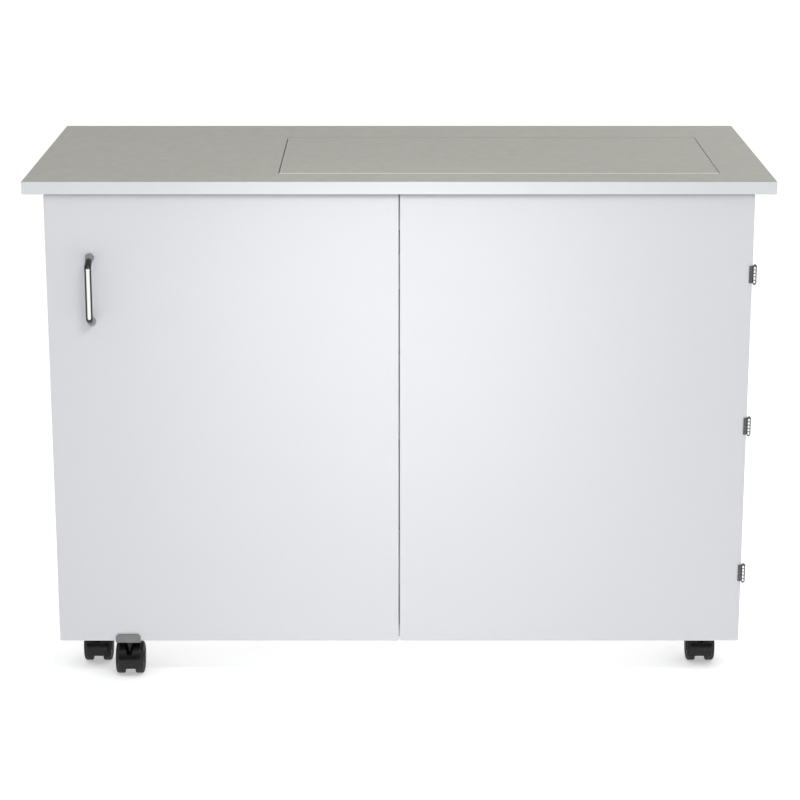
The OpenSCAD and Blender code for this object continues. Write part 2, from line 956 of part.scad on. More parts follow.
// ---- Electrics ----

ear = 10;
ear_t = 2.5;

module control_box() {
    color(black)
    difference() {
        union() {
            block([box_x0 + ear, back_face - box_d, box_z0],
                  [box_x0 + box_w - ear, back_face, box_z0 + box_h]);
            block([box_x0, back_face - ear_t, box_z0],
                  [box_x0 + box_w, back_face, box_z0 + box_h]);
        }
        translate([inlet_x - inlet_body[0] / 2 - 0.5, back_face - inlet_body[1],
                   inlet_z - inlet_body[2] / 2 - 0.5])
        cube([inlet_body[0] + 1, inlet_body[1] + 1, inlet_body[2] + 1]);
        at_box_screws() hole_for(9);
    }
}

// Screws through the control box's ears and through the inlet's flange
module at_box_screws() {
    for (x = [ear / 2, box_w - ear / 2], z = [15, box_h - 15])
        translate([box_x0 + x, back_face - ear_t, box_z0 + z]) rotate([90, 0, 0]) children();
}

module at_inlet_screws() {
    for (end = [-1, 1])
        translate([inlet_x, body_back + 2.5, inlet_z + end * 29]) rotate([-90, 0, 0]) children();
}

// Appliance inlet: a flange on the back panel, a body through it and three blades
module power_inlet() {
    color(black)
    difference() {
        union() {
            translate([inlet_x - 17, body_back, inlet_z - 34]) cube([34, 2.5, 68]);
            translate([inlet_x - inlet_body[0] / 2, back_face - inlet_body[1] + 12,
                       inlet_z - inlet_body[2] / 2])
            cube([inlet_body[0], inlet_body[1], inlet_body[2]]);
        }
        translate([inlet_x - 10, body_back - 14, inlet_z - 13]) cube([20, 18, 26]);
        at_inlet_screws() hole_for(10);
    }
    color(steel)
    for (p = [[0, 5], [-5, -4], [5, -4]])
        translate([inlet_x + p[0] - 1, body_back - 14.2, inlet_z + p[1] - 2]) cube([2, 12, 4]);
}

module switch_housing() {
    color(black)
    difference() {
        block([switch_x - switch_w / 2, switch_y0, switch_z0],
              [switch_x + switch_w / 2, switch_y0 + switch_d, switch_z0 + switch_h]);
        block([switch_x - rocker_w / 2 - 0.4, switch_y0 - 1, rocker_z - 8.5],
              [switch_x + rocker_w / 2 + 0.4, switch_y0 + 8, rocker_z + 8.5]);
        rocker_pin(run);
        at_switch_screws() hole_for(switch_h + 10);
    }
}

// Screws up through the switch housing into the front rail
module at_switch_screws() {
    for (side = [-1, 1])
        translate([switch_x + side * 24, switch_y0 + 13, switch_z0]) rotate([180, 0, 0])
        children();
}

module rocker_pin(grow = 0) {
    reach = rocker_w / 2 + 2.5 + grow;
    rod_x_dir(rocker_pin_y, rocker_z, 1.5 + grow, switch_x - reach, switch_x + reach);
}

// Rocker on a pin along X, with its two ends raised out of the housing
module switch_rocker() {
    color(black) {
        translate([switch_x - rocker_w / 2, rocker_pin_y, rocker_z]) rotate([90, 0, 90])
        linear_extrude(rocker_w)
        polygon([[-4, -7], [-2.4, 0], [-4, 7], [2, 7.2], [3.4, 0], [2, -7.2]]);
        rocker_pin();
    }
}

// A tube swept along points: rings of `sides` corners, closed at both ends
function unit(v) = v / norm(v);
function cable_dir(p, i) =
    unit((i < len(p) - 1 ? p[i + 1] : p[i]) - (i > 0 ? p[i - 1] : p[i]));
function cable_side(d) = unit(cross(d, abs(d[2]) > 0.9 ? [0, 1, 0] : [0, 0, 1]));

module cable(points, r, sides = 8) {
    n = len(points);
    rings = [for (i = [0 : n - 1]) let(d = cable_dir(points, i), s = cable_side(d), u = cross(s, d))
        for (k = [0 : sides - 1]) points[i] + r * (cos(k * 360 / sides) * s + sin(k * 360 / sides) * u)];
    walls = [for (i = [0 : n - 2], k = [0 : sides - 1]) let(m = (k + 1) % sides)
        [i * sides + k, (i + 1) * sides + k, (i + 1) * sides + m, i * sides + m]];
    polyhedron(rings, concat(walls, [[for (k = [0 : sides - 1]) k]],
        [[for (k = [sides - 1 : -1 : 0]) (n - 1) * sides + k]]));
}

// A polyline with each corner cut by an arc of 4 steps over the distance c
function rounded(p, c = 14) = [
    for (i = [0 : len(p) - 1])
        if (i == 0 || i == len(p) - 1) p[i]
        else let(a = p[i] + c * unit(p[i - 1] - p[i]), b = p[i] + c * unit(p[i + 1] - p[i]))
            for (t = [0 : 0.25 : 1]) (1 - t) * (1 - t) * a + 2 * t * (1 - t) * p[i] + t * t * b];

// Both routes are clipped along the boards and the back plate
motor_r = 3;
clip_y = plate_front - motor_r - 0.2;
low_z = floor_board_top + 7.5;
motor_route = [[open_x + 26.8, lift_y, motor_z0 + 17], [open_x + 42, lift_y, motor_z0 + 17],
               [open_x + 42, clip_y, motor_z0 + 17], [open_x + 42, clip_y, low_z],
               [box_x0 + 30, clip_y, low_z], [box_x0 + 30, clip_y, box_z0 + 0.2]];
switch_r = 2.5;
wall_run_x = inner_x - switch_r - 0.2;
rail_run_z = top_under - rail_h - switch_r - 0.2;
switch_route = [[switch_x + switch_w / 2 - 0.2, switch_y0 + 12, rail_run_z],
                [wall_run_x, switch_y0 + 12, rail_run_z],
                [wall_run_x, back_face - 20, rail_run_z],
                [wall_run_x, back_face - 20, box_z0 + 45],
                [box_x0 + box_w - ear - 0.2, back_face - 20, box_z0 + 45]];

module motor_cable() {
    color(black) cable(rounded(motor_route, 7), motor_r);
}

module switch_cable() {
    color(black) cable(rounded(switch_route, 9), switch_r);
}

// ---- Fasteners in the cabinet ----

module at_caster_screws() {
    for (p = [front_left, front_right, rear_left, rear_right], x = [-1, 1], y = [-1, 1])
        translate([p[0] + x * plate_hole, p[1] + y * plate_hole, caster_h - plate_t])
        rotate([180, 0, 0]) children();
}

module at_tab_screws() {
    for (p = tab_places, side = [-1, 1])
        translate([p[0], p[1], top_under - tab_t]) rotate([0, 0, p[2]])
        translate([side * 10, -tab_under / 2, 0]) rotate([180, 0, 0]) children();
}

module at_bracket_screws_up() {
    for (y = bracket_ys, side = [-1, 1])
        translate([side * (inner_x - 15), y, top_under - 2]) rotate([180, 0, 0]) children();
}

module at_bracket_screws_side() {
    for (y = bracket_ys, side = [-1, 1])
        translate([side * (inner_x - 2), y, top_under - 16]) rotate([0, -side * 90, 0])
        children();
}

module at_hinge_screws() {
    for (z = hinge_zs, dz = [-hinge_screw_z, hinge_screw_z])
        translate([side_x + 0.1 + side_leaf_t, body_front + 13, z + dz]) rotate([0, 90, 0])
        children();
}

module cabinet_fasteners() {
    color(zinc) {
        at_caster_screws() screw(14);
        at_tab_screws() screw(12, 3.2);
        at_bracket_screws_up() screw();
        at_bracket_screws_side() screw();
        at_plate_screws() screw();
        at_hinge_screws() screw(11, 2.8);
        at_box_screws() screw(9);
        at_inlet_screws() screw(10, 3.2);
        at_switch_screws() screw(switch_h + 10, 3.2);
        at_lift_bolts() translate([0, 0, block_depth]) bolt(block_depth + lift_plate_t + 8);
        cam_bolts();
        cam_locks();
    }
}

tabletop();
tabletop_edge_bands();
left_side_panel();
right_side_panel();
bottom_panel();
back_panel();
front_rail();
top_brackets();
cover_support_tabs();
side_hinge_frame_leaves();
side_hinge_pins();
caster_plates();
cabinet_fasteners();
lift_back_plate();
guide_rods();
rod_blocks();
lift_motor();
lift_gearbox();
screw_bearings();
control_box();
power_inlet();
switch_housing();
motor_cable();
switch_cable();
lead_screw();
screw_coupling();
carriage_plate();
carriage_bushes();
lead_nut();
carriage_bolts();
platform_arms();
lift_platform();
switch_rocker();
machine_cover();
cover_edge_bands();
right_door_panel();
side_hinge_door_leaves();
center_hinge_right_leaves();
right_door_screws();
left_door_panel();
center_hinge_left_leaves();
center_hinge_pins();
door_handle();
left_door_screws();
door_caster_bracket();
hood_at(front_left);  // front_left_caster_hood
wheel_at(front_left, -1);  // front_left_caster_wheel_l
wheel_at(front_left, 1);  // front_left_caster_wheel_r
hood_at(front_right);  // front_right_caster_hood
wheel_at(front_right, -1);  // front_right_caster_wheel_l
wheel_at(front_right, 1);  // front_right_caster_wheel_r
hood_at(rear_left);  // rear_left_caster_hood
wheel_at(rear_left, -1);  // rear_left_caster_wheel_l
wheel_at(rear_left, 1);  // rear_left_caster_wheel_r
hood_at(rear_right);  // rear_right_caster_hood
wheel_at(rear_right, -1);  // rear_right_caster_wheel_l
wheel_at(rear_right, 1);  // rear_right_caster_wheel_r
hood_at(door_place);  // door_caster_hood
wheel_at(door_place, -1);  // door_caster_wheel_l
wheel_at(door_place, 1);  // door_caster_wheel_r
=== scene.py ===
from math import atan2, cos, degrees, hypot, pi, radians, sin

import bmesh
import bpy
from mathutils import Matrix, Vector


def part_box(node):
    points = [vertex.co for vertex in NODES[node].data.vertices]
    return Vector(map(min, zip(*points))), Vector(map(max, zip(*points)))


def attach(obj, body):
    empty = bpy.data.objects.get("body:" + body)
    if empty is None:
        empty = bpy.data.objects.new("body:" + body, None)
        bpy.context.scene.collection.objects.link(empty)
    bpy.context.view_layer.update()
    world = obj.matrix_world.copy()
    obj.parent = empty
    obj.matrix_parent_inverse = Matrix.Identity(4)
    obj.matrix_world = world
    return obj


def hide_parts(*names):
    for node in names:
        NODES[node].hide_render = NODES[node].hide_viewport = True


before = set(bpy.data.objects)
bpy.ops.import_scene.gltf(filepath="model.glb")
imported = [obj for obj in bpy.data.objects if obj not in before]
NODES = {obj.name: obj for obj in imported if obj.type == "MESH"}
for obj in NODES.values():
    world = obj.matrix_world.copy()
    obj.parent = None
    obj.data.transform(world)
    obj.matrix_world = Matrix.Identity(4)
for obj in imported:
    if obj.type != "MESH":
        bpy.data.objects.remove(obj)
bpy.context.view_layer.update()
MM = 0.001

# ---- Camera and light ----

scene = bpy.context.scene
scene.view_settings.view_transform = "Standard"
scene.view_settings.look = "None"
scene.view_settings.exposure = 0.0
scene.view_settings.gamma = 1.0

CAMERA_PLACE = (0.0, -3.804, 1.424)
CAMERA_PITCH = 15.33
camera_data = bpy.data.cameras.new("camera")
camera_data.sensor_width = 36.0
camera_data.lens = 111.0
camera_data.shift_x = 0.001
camera = bpy.data.objects.new("camera", camera_data)
camera.location = CAMERA_PLACE
camera.rotation_euler = (radians(90 - CAMERA_PITCH), 0, 0)
scene.collection.objects.link(camera)
scene.camera = camera


def area_light(name, place, target, size, power, spread=180.0):
    """A soft rectangular light at place that faces target, with its beam narrowed to spread degrees."""
    data = bpy.data.lights.new(name, "AREA")
    data.shape = "RECTANGLE"
    data.size, data.size_y = size
    data.energy = power
    data.spread = radians(spread)
    light = bpy.data.objects.new(name, data)
    light.location = place
    aim = Vector(target) - Vector(place)
    light.rotation_euler = aim.to_track_quat("-Z", "Y").to_euler()
    scene.collection.objects.link(light)
    return light


area_light("top_softbox", (0.0, 0.1, 3.0), (0.0, 0.0, 0.4), (3.0, 2.4), 4.2)
area_light("front_softbox", (0.0, -1.15, 1.35), (0.0, -0.24, 0.55), (0.5, 0.3), 3.7)
area_light("front_beam", (0.0, -1.15, 1.35), (0.0, -0.24, 0.35), (0.3, 0.2), 0.34, 45.0)
area_light("rear_softbox", (1.25, 0.95, 1.75), (0.5, 0.0, 0.78), (0.8, 0.8), 6.0)

OVERHEAD_GLOW = 0.80
BACK_GLOW = 0.90
SIDE_GLOW = 0.42
FRONT_GLOW = 0.12
FLOOR_GLOW = 0.41

world = bpy.data.worlds.new("studio")
scene.world = world
world.use_nodes = True


def node(tree, kind, **values):
    """Adds a node and sets its input sockets by name, with _ for a space."""
    made = tree.nodes.new("ShaderNode" + kind)
    for key, value in values.items():
        made.inputs[key.replace("_", " ")].default_value = value
    return made


def build_world(tree):
    """A studio that is bright overhead and behind, and dim low down in front."""
    tree.nodes.clear()
    link = tree.links.new
    split = node(tree, "SeparateXYZ")
    link(node(tree, "TexCoord").outputs["Generated"], split.inputs[0])

    def stepped(low, high, axis, start, end):
        ramp = node(tree, "MapRange", From_Min=start, From_Max=end)
        ramp.interpolation_type = "SMOOTHSTEP"
        link(split.outputs[axis], ramp.inputs["Value"])
        mix = node(tree, "Mix", B=high)
        link(ramp.outputs["Result"], mix.inputs["Factor"])
        if isinstance(low, float):
            mix.inputs["A"].default_value = low
        else:
            link(low, mix.inputs["A"])
        return mix.outputs["Result"]

    level = stepped(FRONT_GLOW, SIDE_GLOW, "Y", -0.80, -0.35)
    level = stepped(level, BACK_GLOW, "Y", 0.35, 0.80)
    level = stepped(level, OVERHEAD_GLOW, "Z", 0.30, 0.75)
    back = node(tree, "Background", Color=(0.985, 0.99, 1.0, 1.0))
    link(level, back.inputs["Strength"])
    link(back.outputs[0], node(tree, "OutputWorld").inputs[0])


build_world(world.node_tree)

# ---- Materials ----


def material(name, colour, rough, metallic, vary, cloud, grain, bump, rough_vary, depth=0.0001,
        stretch=(1, 1, 1), specular=0.5, coat=0.0, coat_rough=0.1, speckle=0.0,
        speckle_scale=1500.0, wear=0.0, painted_rim_shade=0.0, rim_from=0.35, rim_to=0.5):
    """A procedural finish: cloudy colour and roughness, fine grain bump, speckle and edge-free wear.
    Lengths are in metres, so grain=700 has features of about 1.4 mm. The rim setting paints shade where
    a surface curves away from view: a painted reflection of dark studio walls on polished metal, and
    painted shade on the foil's rounded edges."""
    made = bpy.data.materials.new(name)
    made.use_nodes = True
    tree = made.node_tree
    shader = tree.nodes["Principled BSDF"]
    shader.inputs["Metallic"].default_value = metallic
    shader.inputs["Specular IOR Level"].default_value = specular
    shader.inputs["Coat Weight"].default_value = coat
    shader.inputs["Coat Roughness"].default_value = coat_rough
    coords = tree.nodes.new("ShaderNodeTexCoord")
    mapping = node(tree, "Mapping", Scale=stretch)
    tree.links.new(coords.outputs["Object"], mapping.inputs["Vector"])

    def noise(scale, detail=3.0, rough_detail=0.5):
        made_noise = node(tree, "TexNoise", Scale=scale, Detail=detail, Roughness=rough_detail)
        tree.links.new(mapping.outputs[0], made_noise.inputs["Vector"])
        return made_noise.outputs["Fac"]

    def spread(value, low, high, to_low, to_high):
        ranged = node(tree, "MapRange", From_Min=low, From_Max=high, To_Min=to_low, To_Max=to_high)
        tree.links.new(value, ranged.inputs["Value"])
        return ranged.outputs["Result"]

    def mixed(factor, a, b):
        mix = tree.nodes.new("ShaderNodeMix")
        mix.data_type = "RGBA"
        tree.links.new(factor, mix.inputs["Factor"])
        for socket, value in ((mix.inputs[6], a), (mix.inputs[7], b)):
            if isinstance(value, tuple):
                socket.default_value = value
            else:
                tree.links.new(value, socket)
        return mix.outputs[2]

    dark = tuple(c * (1 - vary) for c in colour) + (1.0,)
    light = tuple(min(1.0, c * (1 + vary)) for c in colour) + (1.0,)
    clouds = noise(cloud, 4.0)
    tint = mixed(spread(clouds, 0.3, 0.7, 0.0, 1.0), dark, light)
    if speckle:
        dots = spread(noise(speckle_scale, 2.0), 0.56, 0.66, 0.0, speckle)
        tint = mixed(dots, tint, tuple(c * 0.62 for c in colour) + (1.0,))
    rough_value = spread(noise(cloud * 7.3, 5.0, 0.6), 0.3, 0.7, rough - rough_vary, rough + rough_vary)
    if wear:
        marks = spread(noise(cloud * 2.1, 8.0, 0.7), 0.58, 0.72, 0.0, wear)
        tint = mixed(marks, tint, tuple(c * 0.8 for c in colour) + (1.0,))
    # Painted shade: where the surface turns away from view the colour goes towards near-black, standing in
    # for reflected dark walls and shaded edges.
    if painted_rim_shade:
        facing = tree.nodes.new("ShaderNodeLayerWeight")
        facing.inputs["Blend"].default_value = 0.5
        edge = spread(facing.outputs["Facing"], rim_from, rim_to, 0.0, painted_rim_shade)
        tint = mixed(edge, tint, tuple(c * 0.06 for c in colour) + (1.0,))
    tree.links.new(tint, shader.inputs["Base Color"])
    tree.links.new(rough_value, shader.inputs["Roughness"])
    if bump:
        raised = node(tree, "Bump", Strength=bump, Distance=depth)
        tree.links.new(noise(grain, 3.0), raised.inputs["Height"])
        tree.links.new(raised.outputs[0], shader.inputs["Normal"])
    return made


# name, colour, roughness, metallic, colour variation, cloud scale, grain scale, bump, roughness variation
# The knuckles' dark outlines round a white centre are a painted reflection of dark studio walls.
KNUCKLE = material("hinge_knuckle", (0.88, 0.88, 0.87), 0.12, 1.0, 0.03, 60.0, 300, 0.03, 0.04,
    painted_rim_shade=1.0, rim_from=0.11, rim_to=0.20)
HINGE_LIP = material("hinge_lip", (0.13, 0.13, 0.135), 0.34, 0.9, 0.45, 420.0, 900, 0.35, 0.12,
    depth=0.0002)
# The foil darkens towards its rounded edges: painted shade.
FOIL = material("white_foil", (0.735, 0.745, 0.772), 0.38, 0.0, 0.008, 3.0, 420, 0.05, 0.03, coat=0.15,
    coat_rough=0.25, painted_rim_shade=0.22, rim_from=0.5, rim_to=0.95)
MELAMINE = material("white_melamine", (0.80, 0.80, 0.80), 0.46, 0.0, 0.012, 4.0, 1500, 0.12, 0.05)
LAMINATE = material("grey_laminate", (0.334, 0.324, 0.279), 0.46, 0.0, 0.02, 9.0, 1300, 0.15, 0.05,
    speckle=0.10, speckle_scale=900)
BAND = material("white_edge_band", (0.745, 0.765, 0.78), 0.38, 0.0, 0.01, 6.0, 1200, 0.08, 0.05)
ZINC = material("zinc_plate", (0.60, 0.61, 0.62), 0.34, 1.0, 0.10, 60.0, 300, 0.05, 0.08)
NICKEL = material("nickel_plate", (0.62, 0.61, 0.59), 0.30, 1.0, 0.05, 30.0, 400, 0.06, 0.06,
    stretch=(1, 1, 6))
BRACKET = material("dull_zinc", (0.23, 0.23, 0.225), 0.46, 0.55, 0.08, 50.0, 600, 0.10, 0.08)
POWDER = material("powder_coat", (0.17, 0.175, 0.185), 0.50, 0.0, 0.04, 12.0, 900, 0.30, 0.05,
    depth=0.0002)
BRIGHT = material("bright_steel", (0.63, 0.63, 0.64), 0.24, 1.0, 0.05, 40.0, 500, 0.05, 0.06,
    stretch=(1, 1, 0.2))
CAST = material("cast_aluminium", (0.55, 0.56, 0.57), 0.48, 1.0, 0.07, 40.0, 1100, 0.35, 0.08,
    depth=0.0002)
# The chrome's dark sides are a painted reflection of dark studio walls.
CHROME = material("chrome", (0.90, 0.90, 0.88), 0.07, 1.0, 0.02, 20.0, 200, 0.01, 0.02, painted_rim_shade=1.0,
    rim_from=0.10, rim_to=0.17)
# Darker copies of the chrome: painted shade on the handle's feet, and near-black painted shade on its
# bends.
CHROME_FOOT_SHADE = material("chrome_foot_painted_shade", (0.36, 0.36, 0.355), 0.34, 1.0, 0.05, 60.0, 500, 0.05, 0.06)
CHROME_BEND_SHADE = material("chrome_bend_painted_shade", (0.055, 0.055, 0.058), 0.16, 1.0, 0.05, 60.0, 300, 0.02, 0.03)
BRONZE = material("bronze", (0.55, 0.33, 0.12), 0.32, 1.0, 0.10, 50.0, 300, 0.08, 0.08)
ENAMEL = material("black_enamel", (0.018, 0.018, 0.02), 0.30, 0.0, 0.10, 20.0, 300, 0.05, 0.05,
    coat=0.3)
PLASTIC = material("black_plastic", (0.022, 0.022, 0.024), 0.46, 0.0, 0.08, 20.0, 1600, 0.25, 0.06)
GLOSS = material("gloss_black_plastic", (0.012, 0.012, 0.014), 0.18, 0.0, 0.08, 20.0, 500, 0.03, 0.04)
HOOD = material("caster_hood_plastic", (0.007, 0.007, 0.008), 0.25, 0.0, 0.08, 40.0, 900, 0.05, 0.05,
    wear=0.3, specular=0.32)
WHEEL = material("caster_wheel_nylon", (0.004, 0.004, 0.0045), 0.42, 0.0, 0.10, 40.0, 900, 0.10, 0.08,
    specular=0.12)
TREAD = material("caster_tread", (0.022, 0.022, 0.023), 0.55, 0.0, 0.15, 60.0, 600, 0.25, 0.10,
    depth=0.0002, wear=0.4, specular=0.25)
ROD = material("ground_rod", (0.74, 0.74, 0.75), 0.14, 1.0, 0.03, 30.0, 600, 0.03, 0.04, stretch=(1, 1,
    8))
LAMP = material("green_lamp", (0.05, 0.42, 0.12), 0.20, 0.0, 0.08, 200.0, 900, 0.05, 0.05, coat=0.5)
SHEATH = material("cable_sheath", (0.020, 0.020, 0.020), 0.50, 0.0, 0.08, 20.0, 700, 0.15, 0.05)

# ---- Mesh tools ----


def finish_mesh(obj, sharp=35.0):
    """Smooth shading that keeps flat faces flat and corners over sharp degrees crisp."""
    obj.data.polygons.foreach_set("use_smooth", [True] * len(obj.data.polygons))
    obj.data.set_sharp_from_angle(angle=radians(sharp))
    weighted = obj.modifiers.new("weighted_normals", "WEIGHTED_NORMAL")
    weighted.keep_sharp = True
    return obj


def to_object(name, bm, *materials):
    """Turns a bmesh in metres into an object and frees the bmesh."""
    bmesh.ops.recalc_face_normals(bm, faces=bm.faces[:])
    mesh = bpy.data.meshes.new(name)
    bm.to_mesh(mesh)
    bm.free()
    for m in materials:
        mesh.materials.append(m)
    obj = bpy.data.objects.new(name, mesh)
    scene.collection.objects.link(obj)
    return obj


def piece(obj, body, slot, *nodes):
    """Attaches a finished piece to what it rides on and hides the CAD nodes it stands for; slot is not
    used.
    """
    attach(obj, body)
    if nodes:
        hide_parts(*nodes)
    return obj


def vert(bm, point):
    """Adds a vertex at a point in millimetres."""
    return bm.verts.new(Vector(point) * MM)


def rect_loop(x0, y0, x1, y1, inset, radius, steps):
    """Corner points of a rounded rectangle, set in by inset from the outer one."""
    points = []
    r = max(radius - inset, 0.0)
    keep = max(radius, inset)
    corners = [(x1 - keep, y0 + keep, -90), (x1 - keep, y1 - keep, 0),
        (x0 + keep, y1 - keep, 90), (x0 + keep, y0 + keep, 180)]
    for cx, cy, start in corners:
        for k in range(steps + 1):
            a = radians(start + 90.0 * k / steps)
            points.append((cx + r * cos(a), cy + r * sin(a)))
    return points


def bridge(bm, loops, closed):
    """Joins loops of equal length with quads, and the last to the first when closed."""
    count = len(loops[0])
    last = len(loops) if closed else len(loops) - 1
    for i in range(last):
        a, b = loops[i], loops[(i + 1) % len(loops)]
        for k in range(count):
            m = (k + 1) % count
            face = [a[k], a[m], b[m], b[k]]
            if len(set(face)) == 4:
                bm.faces.new(face)


def capped(bm, loops):
    """A closed skin through loops, with flat ends."""
    bridge(bm, loops, False)
    bm.faces.new(loops[0])
    bm.faces.new(loops[-1])


def prism(bm, outline, near, far, place):
    """An outline of (u, v) pushed from near to far; place(u, v, h) gives a point in millimetres."""
    capped(bm, [[vert(bm, place(u, v, h)) for u, v in outline] for h in (near, far)])


def slab(bm, rect, profile, radius, steps, place, ring=False):
    """A board: rounded rectangles at (inset, height) steps, capped at both ends unless it is a ring."""
    loops = []
    for inset, height in profile:
        points = rect_loop(*rect, inset, radius, steps)
        loops.append([vert(bm, place(u, v, height)) for u, v in points])
    if ring:
        bridge(bm, loops, True)
    else:
        capped(bm, loops)


def eased(height, low_r, high_r):
    """A board's edge profile with a quarter round of low_r below and high_r above."""
    turns = [radians(22.5 * k) for k in range(5)]
    low = [(low_r * (1 - sin(t)), low_r * (1 - cos(t))) for t in turns]
    high = [(high_r * (1 - cos(t)), height - high_r * (1 - sin(t))) for t in turns]
    return low + high


def box(bm, low, high):
    """An axis-aligned box in millimetres."""
    size = [b - a for a, b in zip(low, high)]
    middle = [(a + b) / 2 for a, b in zip(low, high)]
    made = bmesh.ops.create_cube(bm, size=1.0)["verts"]
    bmesh.ops.scale(bm, vec=[s * MM for s in size], verts=made)
    bmesh.ops.translate(bm, vec=[c * MM for c in middle], verts=made)
    return made


def turned(bm, profile, segments, place, material_of=None):
    """Revolves (radius, height) points; place(r*cos, r*sin, h) gives a point in millimetres."""
    angles = [2 * pi * k / segments for k in range(segments)]
    rings = [[vert(bm, place(r * cos(a), r * sin(a), h))
        for a in (angles if r > 0 else (0,))] for r, h in profile]
    for i in range(len(rings) - 1):
        a, b = rings[i], rings[i + 1]
        for k in range(segments):
            m = (k + 1) % segments
            if len(a) == 1 and len(b) == 1:
                continue
            if len(a) == 1:
                face = bm.faces.new([a[0], b[m], b[k]])
            elif len(b) == 1:
                face = bm.faces.new([a[k], a[m], b[0]])
            else:
                face = bm.faces.new([a[k], a[m], b[m], b[k]])
            if material_of:
                face.material_index = material_of(i)
    return rings


def solid_turned(bm, profile, segments, place):
    """A closed solid of revolution: flat ends are capped."""
    rings = turned(bm, profile, segments, place)
    for ring in (rings[0], rings[-1]):
        if len(ring) > 1:
            bm.faces.new(ring)


def tube(bm, path, radii, sides):
    """Sweeps a round section along path, both in millimetres, with flat caps."""
    loops = []
    side = None
    for i, p in enumerate(path):
        ahead = Vector(path[min(i + 1, len(path) - 1)]) - Vector(path[max(i - 1, 0)])
        ahead.normalize()
        if side is None:
            side = ahead.orthogonal().normalized()
        side = (side - ahead * side.dot(ahead)).normalized()
        up = ahead.cross(side)
        r = radii[i] if isinstance(radii, (list, tuple)) else radii
        loops.append([bm.verts.new((Vector(p) + side * r * cos(2 * pi * k / sides)
            + up * r * sin(2 * pi * k / sides)) * MM) for k in range(sides)])
    capped(bm, loops)


def combined(obj, other, operation):
    """obj with other cut away or added, as a new plain mesh; other is removed."""
    change = obj.modifiers.new("combine", "BOOLEAN")
    change.operation = operation
    change.solver = "EXACT"
    change.object = other
    bpy.context.view_layer.update()
    graph = bpy.context.evaluated_depsgraph_get()
    mesh = bpy.data.meshes.new_from_object(obj.evaluated_get(graph))
    obj.modifiers.clear()
    obj.data = mesh
    bpy.data.objects.remove(other, do_unlink=True)
    return obj


def with_bevel(obj, width, segments=2, angle=35.0):
    """Rounds an object's corners by width millimetres."""
    weld = obj.modifiers.new("weld", "WELD")
    weld.merge_threshold = 0.00001
    bevel = obj.modifiers.new("bevel", "BEVEL")
    bevel.width = width * MM
    bevel.segments = segments
    bevel.limit_method = "ANGLE"
    bevel.angle_limit = radians(angle)
    bevel.harden_normals = False
    return obj


def recoat(obj, finish):
    """Leaves an object with one material."""
    obj.data.materials.clear()
    obj.data.materials.append(finish)
    return obj


def dress(names, finish, bevel=0.0, segments=2):
    """Gives CAD nodes their material and, where asked, softened corners."""
    for name in names:
        obj = recoat(NODES[name], finish)
        if bevel:
            with_bevel(obj, bevel, segments)
            weighted = obj.modifiers.new("weighted_normals", "WEIGHTED_NORMAL")
            weighted.keep_sharp = True


def flat(u, v, h):
    return (u, v, h)


def corners(name):
    """A CAD node's box in millimetres."""
    low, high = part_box(name)
    return [c / MM for c in low], [c / MM for c in high]


# ---- Solids ----


def block_of(low, high):
    """A box for shape()."""
    return lambda bm: box(bm, low, high)


def round_of(axis, x, y, z, profile, segments=32):
    """A solid of revolution for shape(): profile is (radius, distance along the axis from x, y, z)."""
    places = {"x": lambda a, b, h: (x + h, y + a, z + b), "y": lambda a, b, h: (x + a, y + h, z + b),
        "z": lambda a, b, h: (x + a, y + b, z + h)}
    return lambda bm: solid_turned(bm, profile, segments, places[axis])


def pin_of(axis, x, y, z, r, length, chamfer=0.4, segments=32):
    """A chamfered cylinder for shape()."""
    return round_of(axis, x, y, z, [(r - chamfer, 0), (r, chamfer), (r, length - chamfer),
        (r - chamfer, length)], segments)


def hole(axis, x, y, z, r, length, segments=16):
    """A plain cylinder for the cuts of shape()."""
    return pin_of(axis, x, y, z, r, length, 0.0, segments)


def made_of(name, items):
    """A plain object from several solids, each a function that adds to a bmesh."""
    bm = bmesh.new()
    for item in items:
        item(bm)
    return to_object(name, bm)


def shape(name, finish, adds, cuts=(), bevel=0.0, segments=2):
    """One solid: each of adds is joined on, then each group in cuts is taken away."""
    obj = made_of(name, adds[:1])
    for item in adds[1:]:
        obj = combined(obj, made_of("add", [item]), "UNION")
    for group in cuts:
        obj = combined(obj, made_of("cut", group), "DIFFERENCE")
    recoat(obj, finish)
    if bevel:
        with_bevel(obj, bevel, segments, 40.0)
    return finish_mesh(obj, 40)


def joined(name, parts):
    """Several finished objects as one, with their modifiers applied and their materials kept."""
    graph = bpy.context.evaluated_depsgraph_get()
    mesh = bpy.data.meshes.new(name)
    materials = []
    bm = bmesh.new()
    for part in parts:
        done = bpy.data.meshes.new_from_object(part.evaluated_get(graph))
        first = len(bm.faces)
        bm.from_mesh(done)
        bm.faces.ensure_lookup_table()
        slots = []
        for m in done.materials:
            if m not in materials:
                materials.append(m)
            slots.append(materials.index(m))
        for face in bm.faces[first:]:
            face.material_index = slots[face.material_index] if slots else 0
        bpy.data.meshes.remove(done)
        bpy.data.objects.remove(part, do_unlink=True)
    bmesh.ops.dissolve_degenerate(bm, dist=3e-6, edges=bm.edges[:])
    bm.to_mesh(mesh)
    bm.free()
    for m in materials:
        mesh.materials.append(m)
    obj = bpy.data.objects.new(name, mesh)
    scene.collection.objects.link(obj)
    return obj


# ---- Tabletop and cover ----

top_low, top_high = corners("tabletop_edge_bands")
cover_low, cover_high = corners("cover_edge_bands")
board_low = corners("tabletop")[0]
TOP_T = top_high[2] - top_low[2]
BAND_T = board_low[0] - top_low[0]
COVER_GAP = 1.5
OPEN_BAND = 1.0
OPENING = (cover_low[0] - COVER_GAP, cover_low[1] - COVER_GAP,
    cover_high[0] + COVER_GAP, cover_high[1] + COVER_GAP)


